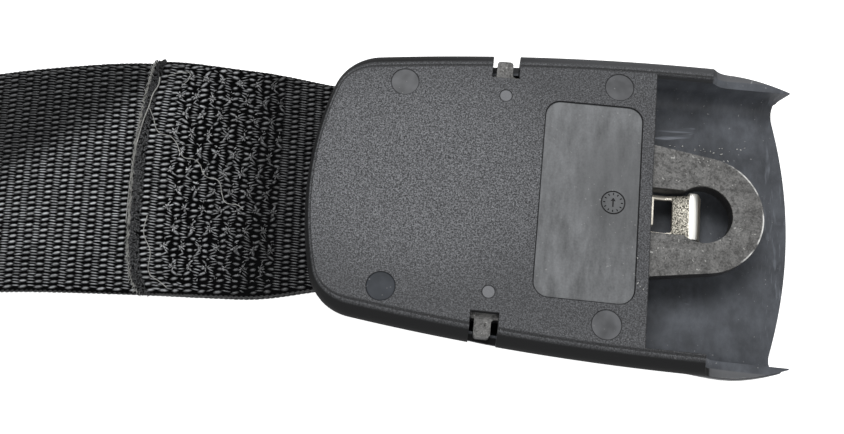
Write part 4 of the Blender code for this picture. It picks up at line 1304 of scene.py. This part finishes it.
class Board:
    """A material's nodes, all added through one method."""

    def __init__(self, name):
        self.material = bpy.data.materials.new(name)
        self.material.use_nodes = True
        self.tree = self.material.node_tree
        self.tree.nodes.clear()
        self.output = self.tree.nodes.new("ShaderNodeOutputMaterial")
        self.coordinates = self.add("ShaderNodeTexCoord", output="Object")

    def add(self, kind, settings=None, sockets=None, output=0):
        node = self.tree.nodes.new(kind)
        settings = dict(settings or {})
        stops = settings.pop("stops", None)
        for name, value in settings.items():
            setattr(node, name, value)
        if stops:
            self._set_stops(node.color_ramp.elements, stops)
        for key, value in (sockets or {}).items():
            if isinstance(value, Value):
                self.tree.links.new(value.socket, node.inputs[key])
            else:
                node.inputs[key].default_value = value
        return Value(self, node.outputs[output])

    @staticmethod
    def _set_stops(elements, stops):
        while len(elements) < len(stops):
            elements.new(1.0)
        for element, (position, level) in zip(elements, stops):
            element.position = position
            element.color = (level, level, level, 1)

    def axes(self):
        split = self.add("ShaderNodeSeparateXYZ", None, {"Vector": self.coordinates})
        outputs = split.socket.node.outputs
        return [Value(self, outputs[name]) for name in "XYZ"]

    def stretched(self, x, y, z):
        """Object coordinates stretched by a factor along each axis."""
        settings = {"operation": "MULTIPLY"}
        return self.add("ShaderNodeVectorMath", settings, {0: self.coordinates, 1: (x, y, z)})

    def noise(self, scale, detail=2.0, vector=None, roughness=0.5):
        sockets = {"Vector": vector or self.coordinates, "Scale": scale, "Detail": detail,
                   "Roughness": roughness}
        return self.add("ShaderNodeTexNoise", None, sockets, output="Fac")

    def ramp(self, value, *stops):
        return self.add("ShaderNodeValToRGB", {"stops": stops}, {"Fac": value})

    def larger(self, *values):
        """The largest of two or more values."""
        largest = values[0]
        for value in values[1:]:
            largest = self.add("ShaderNodeMath", {"operation": "MAXIMUM"}, {0: largest, 1: value})
        return largest

    def attribute(self, name):
        """A value that is stored on the mesh."""
        return self.add("ShaderNodeAttribute", {"attribute_name": name}, output="Fac")

    def band(self, x, y, start_at, end_at, half_width):
        """A soft mark between two places of the drawing, mostly along X."""
        slope = (end_at[1] - start_at[1]) / (end_at[0] - start_at[0])
        middle = (x - metres(start_at[0])) * slope + start_at[1] * MM
        away = (y - middle).size()
        lengthwise = x.above(metres(start_at[0]), MM) * (1 - x.above(metres(end_at[0]), MM))
        return lengthwise * (1 - away.above(half_width * 0.3 * MM, half_width * 0.7 * MM))

    def disc(self, x, y, centre_x, centre_y, radius):
        """A round spot at a place of the drawing."""
        reach = (x - metres(centre_x)).squared() + (y - centre_y * MM).squared()
        return 1 - reach.above((radius * MM) ** 2, (0.35 * MM) ** 2)

    def mix(self, share, first, second):
        """The first colour where share is 0 and the second where it is 1."""
        sockets = {0: share, 6: rgba(first), 7: rgba(second)}
        return self.add("ShaderNodeMix", {"data_type": "RGBA"}, sockets, output=2)

    def bump(self, height, distance, strength=1.0, normal=None):
        sockets = {"Height": height, "Distance": distance, "Strength": strength}
        if normal:
            sockets["Normal"] = normal
        return self.add("ShaderNodeBump", None, sockets, output="Normal")

    def surface(self, **sockets):
        names = {key.replace("_", " "): value for key, value in sockets.items()}
        shader = self.add("ShaderNodeBsdfPrincipled", None, names)
        self.tree.links.new(shader.socket, self.output.inputs["Surface"])
        return self.material


def rgba(colour):
    return colour if isinstance(colour, Value) else (*colour[:3], 1.0)


def shade(colour, factor):
    """A colour made darker or lighter."""
    return [c * factor for c in colour[:3]]


def metres(x):
    """A place along X in the drawing, as the frame's Object coordinate."""
    return (x + SHIFT) * MM


def inside_sleeve(board, x, across, z):
    """A mask that is 1 on the sleeve's inner faces and 0 on its outer ones."""
    low, high = FRONT_ROUND[1], COVER_TOP - BACK_ROUND[1]
    leaning = (z * -1 + high * MM) * (1 / ((high - low) * MM))
    leaning = board.add("ShaderNodeClamp", None, {"Value": leaning})
    side_from, side_to = DRAFT_FADE_X
    mouth_to, mouth_from = MOUTH_DRAFT_X
    at_side = (1 - x.above(metres(side_from), (side_to - side_from) * MM)) * (FRONT_DRAFT * MM)
    at_mouth = (1 - x.above(metres(mouth_from), (mouth_to - mouth_from) * MM)) * (MOUTH_DRAFT * MM)
    draft = (at_side + at_mouth) * leaning
    before_widest = board.larger(metres(WIDEST_X) - x, 0.0)
    half_width = COVER_HALF_WIDTH * MM - before_widest.squared() * (SIDE_CURVE / MM)
    end_x = across.squared() * (0.5 / (END_ARC_RADIUS * MM)) + metres(COVER_LEFT)
    from_side = board.larger(CORNER_RADIUS * MM - (half_width - across - draft), 0.0)
    from_end = board.larger(CORNER_RADIUS * MM - (x - end_x - draft), 0.0)
    depth = CORNER_RADIUS * MM - (from_side.squared() + from_end.squared()).root()
    by_depth = depth.above(0.45 * WALL * MM + 0.55 * MM, 0.35 * MM)
    between_horns = 1 - across.above((CAVITY_HALF_WIDTH + 0.1) * MM, 0.15 * MM)
    at_horns = x.above(metres(WIDEST_X), 0.5 * MM) * between_horns
    heights = z.above(0.75 * WALL * MM, 0.3 * MM) * (1 - z.above((COVER_TOP - WALL + 0.1) * MM, 0.1 * MM))
    return board.larger(by_depth, at_horns) * heights


def cover_material(settings):
    """Grained black plastic, with the label field, the disc marks and the scuffed inside on masks."""
    board = Board("moulded_black_tpu")
    x, y, z = board.axes()
    across = y.size()
    grain_scale = 1 / settings.grain
    grain = board.noise(grain_scale, 2.0, roughness=0.6)
    fine = board.noise(grain_scale * 2.2, 1.0)

    # Masks of the cover's regions
    below_top = 1 - z.above((COVER_TOP - 0.12) * MM, 0.04 * MM)
    below_top = below_top * z.above((COVER_TOP - 1.2) * MM, 0.1 * MM)
    label_box = (x.above(metres(LABEL_X[0]), 0.1 * MM) * (1 - x.above(metres(LABEL_X[1] - 0.1), 0.1 * MM))
                 * (1 - across.above(LABEL_HALF_WIDTH * MM, 0.1 * MM)))
    discs = [board.disc(x, across, *mark[:3]) * below_top for mark in EJECTOR_MARKS]
    small_disc = discs[-1]
    in_label = label_box * below_top
    recess = board.larger(*discs, in_label)
    inside = inside_sleeve(board, x, across, z)
    slope = x.above(metres(HORN_SLOPE_X), 0.7 * MM) * z.above(1.5 * MM, 1.5 * MM)
    rounding = ((1 - z.above((COVER_TOP - 0.5) * MM, 0.42 * MM)) * z.above((PARTING_Z - 0.3) * MM, 0.1 * MM)
                * (1 - inside) * (1 - slope) * (1 - recess))
    smooth = board.larger(inside, recess, slope, rounding)

    # The grained field, paler in its middle under a painted sheen, and its rounded edge painted in shade
    from_middle = ((x - metres(-10)) * (1 / 0.04)).squared() + ((y - 3 * MM) * (1 / 0.027)).squared()
    # Painted sheen: a broad pale patch over the field's middle, where the lamp's reflection falls
    painted_sheen = 1 - from_middle.above(0.05, 1.0)
    speckle = board.ramp(grain * 0.6 + fine * 0.4, (0.42, 0.0), (0.66, 1.0))
    hollow = board.mix(painted_sheen, shade(settings.colour, 0.5), shade(settings.colour, 0.4))
    peak = board.mix(painted_sheen, shade(settings.colour, 2.0), shade(settings.colour, 3.7))
    colour = board.mix(speckle, hollow, peak)
    # Painted shade on the rounded edge: near black on the lower side, lighter on the upper side that faces
    # the light, and a painted highlight on the parting ledge
    ledge = z.above((PARTING_Z - 0.3) * MM, 0.1 * MM) * (1 - z.above((PARTING_Z + 0.1) * MM, 0.1 * MM))
    lit_side = y.above(5 * MM, 20 * MM)
    painted_edge_shade = board.mix(lit_side * x.above(metres(-10), 40 * MM), shade(settings.colour, 0.1),
                       shade(settings.colour, 0.75))
    edge = board.mix(ledge, painted_edge_shade, shade(settings.colour, 1.5))
    colour = board.mix(rounding, colour, edge)
    shaded_slope = board.mix(across.above(28.6 * MM, 2.5 * MM), shade(settings.colour, 1.8),
                             shade(settings.colour, 1.25))
    colour = board.mix(slope, colour, shaded_slope)
    horn_scratch = board.band(x, y, (56.0, 27.3), (56.7, 29.2), 0.5)
    colour = board.mix(slope * horn_scratch * 0.8, colour, (0.45, 0.46, 0.47))

    # Disc marks
    stain = board.ramp(board.noise(300, 2.0), (0.35, 0.0), (0.65, 1.0))
    mark = board.mix(stain, (0.016, 0.0195, 0.0245), (0.036, 0.041, 0.05))
    colour = board.mix(recess, colour, mark)
    plain_disc = board.mix(stain, shade(settings.colour, 0.85), shade(settings.colour, 1.45))
    colour = board.mix(discs[1], colour, plain_disc)
    colour = board.mix(discs[0] * y.above(0, 1 * MM), colour, plain_disc)
    # Painted reflection: the small discs' smooth floors are painted pale where they catch the light
    disc_reflection = board.mix(fine, shade(settings.colour, 1.5), shade(settings.colour, 2.7))
    colour = board.mix(small_disc, colour, disc_reflection)
    # Painted shade on the slanting flanks of the recesses, darkened almost to black
    flank = z.above((COVER_TOP - 0.15) * MM, 0.03 * MM) * (1 - z.above((COVER_TOP - 0.05) * MM, 0.03 * MM))
    colour = board.mix(flank * (1 - inside) * (1 - slope) * 0.75, colour, shade(settings.colour, 0.1))

    # Label field with its smudges, border and dial, the border's flank and the dial's grooves painted near
    # black as painted shade
    smudge = board.noise(1.0, 5.0, board.stretched(330, 110, 300), 0.66)
    dust = board.noise(2600, 2.0)
    streak = board.noise(1.0, 2.0, board.stretched(1300, 300, 400))
    # The smudges, with a little painted light that makes the field paler towards its upper side
    brightness_share = board.ramp(smudge * 0.7 + streak * 0.12 + dust * 0.18 + y.above(-8 * MM, 22 * MM) * 0.05,
                         (0.36, 0.0), (0.66, 1.0))
    dull_spot = ((x - metres(30)) * (1 / 0.009)).squared() + ((y - 3 * MM) * (1 / 0.014)).squared()
    brightness_share = brightness_share * (0.45 + dull_spot.above(0.1, 1.2) * 0.6)
    label = board.mix(brightness_share, shade(settings.label_colour, 0.68), shade(settings.label_colour, 1.62))
    label_floor = COVER_TOP - LABEL_DEPTH
    # Painted shade: the border's flank and the dial's grooves are painted near black
    border = z.above((label_floor + 0.06) * MM, 0.04 * MM)
    grooves = 1 - z.above((label_floor - 0.06) * MM, 0.03 * MM)
    field = board.mix(board.larger(border, grooves), label, (0.01, 0.01, 0.011))
    colour = board.mix(in_label, colour, field)

    # Scuffed inside
    haze = board.ramp(board.noise(1.0, 3.0, board.stretched(55, 80, 100), 0.6), (0.36, 0.0), (0.66, 1.0))
    veil = board.ramp(board.noise(1.0, 5.0, board.stretched(260, 170, 100), 0.7), (0.4, 0.0), (0.68, 1.0))
    # Paler streaks towards the open end
    end_streaks = board.ramp(board.noise(1.0, 3.0, board.stretched(1500, 260, 300)), (0.5, 0.0), (0.72, 1.0))
    scrape = board.ramp(board.noise(1.0, 3.0, board.stretched(90, 1500, 300)), (0.5, 0.0), (0.75, 1.0))
    near_end = x.above(metres(57), 8 * MM)
    pale = board.larger(haze * 0.18 + veil * 0.18, end_streaks * near_end * 0.4)
    for start_at, end_at, half_width, strength in SCUFFS:
        scuff = board.band(x, y, start_at, end_at, half_width)
        pale = board.larger(pale, scuff * (0.2 + scrape * 0.8) * strength)
    scuffed = board.mix(pale, shade(settings.inside_colour, 0.75), shade(settings.inside_colour, 4.2))
    colour = board.mix(inside, colour, scuffed)
    specks = board.ramp(board.noise(1500, 1.0), (0.74, 0.0), (0.77, 1.0))
    colour = board.mix(specks * (1 - rounding) * 0.4, colour, (0.38, 0.38, 0.38))

    roughness = 0.55 - smooth * 0.1 + rounding * 0.3 + fine * 0.08 + brightness_share * in_label * 0.15
    normal = board.bump(grain * (1 - smooth), 0.00022, 1.0)
    normal = board.bump(streak * smooth, 0.00002, 0.4, normal)
    return board.surface(Base_Color=colour, Roughness=roughness, Normal=normal, Specular_IOR_Level=0.18)


def plate_material(settings):
    """Blackened steel, pitted and chipped, worn bright round the nose's rim."""
    board = Board("dark_steel")
    x, y, z = board.axes()
    blotch = board.noise(420, 4.0, roughness=0.7)
    fine = board.noise(2400, 3.0, roughness=0.65)
    pits = board.ramp(board.noise(1300, 3.0, roughness=0.65), (0.56, 0.0), (0.66, 1.0))
    tone = board.ramp(blotch * 0.5 + fine * 0.5, (0.38, 0.0), (0.62, 1.0))
    colour = board.mix(tone, shade(settings.plate_colour, 0.35), shade(settings.plate_colour, 1.56))
    colour = board.mix(pits * 0.7, colour, (0.04, 0.04, 0.037))
    chips = board.ramp(board.noise(1100, 2.0), (0.68, 0.0), (0.72, 1.0))
    colour = board.mix(chips * 0.5, colour, (0.5, 0.5, 0.48))
    # Painted shade: everything below the plate's top face, its sides and the walls of its holes, is painted
    # near black
    side = 1 - z.above((PLATE_TOP - 0.5) * MM, 0.25 * MM)
    colour = board.mix(side * 0.93, colour, (0.008, 0.008, 0.009))
    out_x = x - metres(NOSE_X)
    reach = (out_x.squared() + y.squared()).root()
    rim = reach.above((NOSE_RADIUS - 0.32) * MM, 0.12 * MM) * z.above((PLATE_TOP - 0.3) * MM, 0.1 * MM)
    worn = board.ramp(board.noise(260, 3.0), (0.42, 0.0), (0.56, 1.0))
    colour = board.mix(rim * worn * x.above(metres(50), 6 * MM), colour, (0.72, 0.72, 0.7))
    normal = board.bump(blotch * 0.4 + fine * 0.6 - pits * 0.5, 0.00013, 1.0)
    return board.surface(Base_Color=colour, Roughness=0.42 + fine * 0.2, Metallic=0.3, Normal=normal)


def spring_material(settings):
    """Plated strip with a rough ramp, and its crest painted near white as a painted highlight."""
    board = Board("nickel_spring")
    x, _, _ = board.axes()
    spark = board.noise(3000, 2.0, roughness=0.7)
    # Painted highlight: the crest is painted near white
    crest_highlight = x.above(metres(SPRING_SHINE_X), 0.4 * MM)
    ramp_face = x.above(metres(SPRING_FACE_X), 0.3 * MM) * (1 - crest_highlight)
    tail = x.above(metres(SPRING_TAIL_X), 0.5 * MM)
    tone = board.ramp(spark, (0.4, 0.0), (0.6, 1.0))
    rough = board.mix(tone, (0.025, 0.022, 0.016), (0.5, 0.475, 0.41))
    colour = board.mix(ramp_face, settings.spring_colour, rough)
    colour = board.mix(crest_highlight, colour, (0.96, 0.95, 0.9))
    colour = board.mix(tail * 0.85, colour, (0.26, 0.22, 0.15))
    normal = board.bump(spark * (0.1 + ramp_face * 0.9), 0.00012, 0.9)
    return board.surface(Base_Color=colour, Roughness=0.3 + ramp_face * 0.12, Metallic=0.7, Normal=normal)


def grit_material():
    board = Board("pale_grit")
    fine = board.noise(2500, 2.0)
    colour = board.mix(fine, (0.3, 0.3, 0.29), (0.75, 0.75, 0.72))
    normal = board.bump(fine, 0.00005, 0.8)
    return board.surface(Base_Color=colour, Roughness=0.45 + fine * 0.2, Normal=normal)


def rivet_material(settings):
    board = Board("rivet_steel")
    fine = board.noise(2200, 3.0)
    colour = board.mix(fine, shade(settings.rivet_colour, 0.7), shade(settings.rivet_colour, 1.3))
    normal = board.bump(fine, 0.00004, 0.6)
    return board.surface(Base_Color=colour, Roughness=0.35 + fine * 0.15, Metallic=0.9, Normal=normal)


def filament_lines(board):
    """Fine lines along the yarns, and a broader unevenness."""
    lines = board.noise(1.0, 2.0, board.stretched(700, 4200, 4200), 0.6)
    cloud = board.noise(600, 2.0)
    return lines, cloud


def yarn_material(name, hollow, crown, gloss=0.3, shine=0.25):
    """Continuous polyester filament on floats: near black where it dips under, and painted pale on the crown
    as a painted highlight.
    """
    board = Board(name)
    lines, cloud = filament_lines(board)
    height = board.attribute("crown")
    tone = board.attribute("tone")
    x, y, _ = board.axes()
    top = board.ramp(height, (0.26, 0.0), (0.5, 1.0))
    # Painted light across the belt: the highlight is weaker towards its upper left, along its lower edge and
    # near the cover, as painted shade
    past_shade_line = (x - metres(-92)) * -0.578 + (y + 6 * MM) * 0.816
    lower_edge_shade = 1 - y.above(-27 * MM, 8 * MM)
    near_cover_shade = x.above(metres(-68), 26 * MM)
    brightness_share = (1 - past_shade_line.above(-3 * MM, 9 * MM) * (1 - near_cover_shade) * 0.8) * (1 - lower_edge_shade * 0.3)
    brightness_share = brightness_share * (1 - near_cover_shade * 0.55) * (1 - x.above(metres(-47), 7 * MM) * 0.6)
    strands = board.ramp(lines, (0.35, 0.0), (0.6, 1.0))
    # Painted highlight on each float's crown, scaled by the painted shade across the belt, a random tone and
    # the filament lines
    painted_sheen = top * brightness_share * (0.5 + tone * 0.5 + cloud * 0.4) * (0.45 + strands * 0.75)
    colour = board.mix(painted_sheen, hollow, crown)
    normal = board.bump(lines, 0.00004, 0.7)
    return board.surface(Base_Color=colour, Roughness=gloss + cloud * 0.1, Normal=normal,
                         Specular_IOR_Level=shine)


def plain_yarn_material(name, colour, gloss=0.6, shine=0.3):
    """Polyester that shows no floats, such as the belt's core and single strands."""
    board = Board(name)
    lines, cloud = filament_lines(board)
    tone = board.ramp(lines * 0.5 + cloud * 0.5, (0.35, 0.0), (0.65, 1.0))
    mixed = board.mix(tone, shade(colour, 0.6), shade(colour, 1.4))
    normal = board.bump(lines, 0.00004, 0.7)
    return board.surface(Base_Color=mixed, Roughness=gloss + cloud * 0.1, Normal=normal,
                         Specular_IOR_Level=shine)


def ground_material(name, colour):
    """A pale surface that looks white where nothing shades it, and keeps the object's shadow."""
    board = Board(name)
    path = board.tree.nodes.new("ShaderNodeLightPath")
    seen = board.larger(*(Value(board, path.outputs[ray]) for ray in SEEN_RAYS))
    tint = board.mix(board.noise(30, 2.0), shade(colour, 0.98), colour)
    plain = board.add("ShaderNodeBsdfDiffuse", None, {"Color": tint})
    glow = board.add("ShaderNodeEmission", None, {"Color": (1, 1, 1, 1), "Strength": 0.85})
    bright = board.add("ShaderNodeAddShader", None, {0: plain, 1: glow})
    shown = board.add("ShaderNodeMixShader", None, {0: seen, 1: plain, 2: bright})
    board.tree.links.new(shown.socket, board.output.inputs["Surface"])
    return board.material


# Operators

class BELT_OT_cover(bpy.types.Operator):
    """Builds the moulded cover sleeve"""
    bl_idname = "belt.cover"
    bl_label = "Cover sleeve"

    def execute(self, context):
        cover = cover_mesh()
        cover.name = "cover_shell"
        finish_piece(cover, cover_material(context.scene.belt_cover), "moulded_black_tpu", "cover_sleeve")
        return {"FINISHED"}


class BELT_OT_plate(bpy.types.Operator):
    """Builds the anchor plate and dresses its rivets"""
    bl_idname = "belt.plate"
    bl_label = "Anchor plate"

    def execute(self, context):
        metal = context.scene.belt_metal
        plate = plate_mesh()
        plate.name = "plate_steel"
        finish_piece(plate, plate_material(metal), "dark_steel", "anchor_plate")
        grit = grit_material()
        crumbs = grow("grit", crumb_rows(), grit, CRUMB, 0.3, 3, (5, 4))
        finish_piece(crumbs, grit, "dark_steel")
        steel = rivet_material(metal)
        for side in ("upper", "lower"):
            rivet = NODES[f"spring_rivet_{side}"]
            rivet.data.materials.clear()
            rivet.data.materials.append(steel)
        return {"FINISHED"}


class BELT_OT_spring(bpy.types.Operator):
    """Builds the latch spring, from its riveted pad to its tongue"""
    bl_idname = "belt.spring"
    bl_label = "Latch spring"

    def execute(self, context):
        spring = spring_mesh()
        spring.name = "spring_leaf"
        spring.data.materials.clear()
        spring.data.materials.append(spring_material(context.scene.belt_metal))
        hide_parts("latch_spring")
        tuple(put(HINGE_X - 1, 0, HINGE_Z))
        tuple(put(HINGE_X + 9, 0, HINGE_Z))
        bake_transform(spring)
        return {"FINISHED"}


class BELT_OT_webbing(bpy.types.Operator):
    """Builds the woven belt, its weave and its bound edges"""
    bl_idname = "belt.webbing"
    bl_label = "Webbing"

    def execute(self, context):
        settings = context.scene.belt_webbing
        yarn = yarn_material("black_polyester", settings.colour, settings.crown_highlight_colour)
        # The core shows in the weave's gaps and is painted near black there as painted shade
        dark = plain_yarn_material("black_polyester_core", shade(settings.colour, 0.4), 0.9, 0.05)
        binding = yarn_material("bound_edge", settings.colour, shade(settings.crown_highlight_colour, 0.3), 0.5, 0.3)
        body, length = web_base()
        finish_piece(body, dark, "black_polyester", "belt_webbing")
        needle = needle_points()
        faces = {
            "weave_front": weave_rows((WEB_END_X, FLAP_END_X + WEAVE_UNDER_FLAP), False, 1, settings),
            "weave_flap": weave_rows((FLAP_END_X + LIP_LENGTH, WEAVE_RIGHT_X), True, 1, settings, needle),
            "weave_back": weave_rows((WEB_END_X, WEAVE_RIGHT_X), False, -1, settings),
        }
        for name, rows in faces.items():
            uneven = 0.15 if name == "weave_flap" else 0.08
            piece = grow(name, rows, yarn, WEAVE_FLOAT, uneven, settings.seed)
            finish_piece(piece, yarn, "black_polyester")
        bound = edge_rows((WEB_END_X, WEAVE_RIGHT_X), False, settings)
        bound += edge_rows((FLAP_END_X, WEAVE_RIGHT_X), True, settings)
        edges = grow("bound_edges", bound, binding, EDGE_FLOAT, 0.08, settings.seed)
        finish_piece(edges, binding, "black_polyester")
        length * MM
        return {"FINISHED"}


class BELT_OT_sewing(bpy.types.Operator):
    """Sews the flap down and leaves the ragged lip and its loose yarns"""
    bl_idname = "belt.sewing"
    bl_label = "Sewing"

    def execute(self, context):
        settings = context.scene.belt_webbing
        thread = yarn_material("black_thread", settings.colour, settings.thread_colour, 0.4)
        for kind, upper in (("needle", True), ("bobbin", False)):
            nodes = [f"{kind}_thread_{i + 1:02d}" for i in range(SEAM_ROWS)]
            rows = stitch_rows(upper)
            piece = grow(f"{kind}_stitches", rows, thread, STITCH_PLY, 0.03, settings.seed, (8, 8))
            finish_piece(piece, thread, "black_thread", *nodes)
        drawn = yarn_material("drawn_thread", settings.colour, settings.tuft_highlight_colour, 0.45)
        tufts = grow("needle_tufts", tuft_rows(settings.seed), drawn, TUFT_STRAND, 0.1, settings.seed)
        finish_piece(tufts, drawn, "black_thread")
        sealed = yarn_material("sealed_yarn", settings.colour, shade(settings.crown_highlight_colour, 0.2), 0.55, 0.2)
        lip = grow("flap_lip", lip_rows(), sealed, LIP_LUMP, 0.15, settings.seed)
        finish_piece(lip, sealed, "black_polyester")
        fibre = plain_yarn_material("lip_fibre", settings.pale_colour)
        fringe = grow("lip_fringe", fringe_rows(), fibre, FRINGE_FIBRE, 0.2, settings.seed, (4, 4))
        finish_piece(fringe, fibre, "black_polyester")
        self.loose_yarns(settings)
        return {"FINISHED"}

    def loose_yarns(self, settings):
        """Frayed yarns that stray from the flap's end over the sewing."""
        pale = plain_yarn_material("frayed_yarn", settings.pale_colour)
        strands = []
        for name, (radius, route) in LOOSE_YARNS.items():
            places = [tuple(web_point(x, o, True, WEB_THICKNESS / 2 + 0.3)) for x, o in route]
            strands.append(wire(name, places, radius))
        finish_piece(join("loose_yarns", strands), pale, "black_thread")


class BELT_OT_stage(bpy.types.Operator):
    """Sets the floor, the lamps, the world and the camera"""
    bl_idname = "belt.stage"
    bl_label = "Stage"

    def execute(self, context):
        settings = context.scene.belt_stage
        scene = context.scene
        scene.view_settings.view_transform = "Standard"
        bm = bmesh.new()
        bmesh.ops.create_grid(bm, x_segments=1, y_segments=1, size=FLOOR_SIZE)
        bmesh.ops.translate(bm, verts=bm.verts, vec=(0, 0, -FLOOR_DROP * MM))
        floor = mesh_object("floor", bm)
        floor.data.materials.append(ground_material("pale_floor", settings.floor_colour))
        self.world(scene, settings)
        self.lamp("key", *KEY_LAMP, settings.key_power)
        self.lamp("fill", *FILL_LAMP, settings.fill_power)
        self.camera(scene)
        return {"FINISHED"}

    def world(self, scene, settings):
        """An even light that looks white to the camera and in reflections."""
        world = bpy.data.worlds.new("even_light")
        scene.world = world
        world.use_nodes = True
        tree = world.node_tree
        tree.nodes.clear()
        path = tree.nodes.new("ShaderNodeLightPath")
        any_seen = path.outputs[SEEN_RAYS[0]]
        for ray in SEEN_RAYS[1:]:
            either = tree.nodes.new("ShaderNodeMath")
            either.operation = "MAXIMUM"
            tree.links.new(any_seen, either.inputs[0])
            tree.links.new(path.outputs[ray], either.inputs[1])
            any_seen = either.outputs[0]
        even = tree.nodes.new("ShaderNodeBackground")
        even.inputs["Strength"].default_value = settings.world_level
        seen = tree.nodes.new("ShaderNodeBackground")
        mixed = tree.nodes.new("ShaderNodeMixShader")
        output = tree.nodes.new("ShaderNodeOutputWorld")
        for background in (even, seen):
            background.inputs["Color"].default_value = (1, 1, 1, 1)
        tree.links.new(any_seen, mixed.inputs[0])
        tree.links.new(even.outputs[0], mixed.inputs[1])
        tree.links.new(seen.outputs[0], mixed.inputs[2])
        tree.links.new(mixed.outputs[0], output.inputs["Surface"])

    def lamp(self, name, place, size, power):
        """An area lamp that faces the middle of the scene."""
        data = bpy.data.lights.new(name, "AREA")
        data.shape = "RECTANGLE"
        data.size, data.size_y = size
        data.energy = power
        lamp = link(name, data)
        lamp.location = place
        lamp.rotation_euler = (-Vector(place)).to_track_quat("-Z", "Y").to_euler()

    def camera(self, scene):
        data = bpy.data.cameras.new("view")
        data.lens = CAMERA_LENS
        data.sensor_width = CAMERA_SENSOR
        data.clip_start = 0.01
        camera = link("view", data)
        camera.location = put(*CAMERA_PLACE)
        camera.rotation_euler = [math.radians(angle) for angle in CAMERA_TURN_DEG]
        scene.camera = camera


class BELT_PT_panel(bpy.types.Panel):
    """Buttons for each group of pieces"""
    bl_label = "Belt Fitting"
    bl_space_type = "VIEW_3D"
    bl_region_type = "UI"
    bl_category = "Belt Fitting"

    def draw(self, context):
        for operator in OPERATORS:
            self.layout.operator(operator.bl_idname)


SETTINGS = {"belt_cover": CoverSettings, "belt_metal": MetalSettings, "belt_webbing": WebbingSettings,
            "belt_stage": StageSettings}
OPERATORS = (BELT_OT_cover, BELT_OT_plate, BELT_OT_spring, BELT_OT_webbing, BELT_OT_sewing, BELT_OT_stage)


def register():
    for cls in (*SETTINGS.values(), *OPERATORS, BELT_PT_panel):
        bpy.utils.register_class(cls)
    for name, cls in SETTINGS.items():
        setattr(bpy.types.Scene, name, PointerProperty(type=cls))


def unregister():
    for name in SETTINGS:
        delattr(bpy.types.Scene, name)
    for cls in reversed((*SETTINGS.values(), *OPERATORS, BELT_PT_panel)):
        bpy.utils.unregister_class(cls)


def main():
    register()
    bpy.ops.belt.cover()
    bpy.ops.belt.plate()
    bpy.ops.belt.spring()
    bpy.ops.belt.webbing()
    bpy.ops.belt.sewing()
    bpy.ops.belt.stage()


if __name__ == "__main__":
    main()
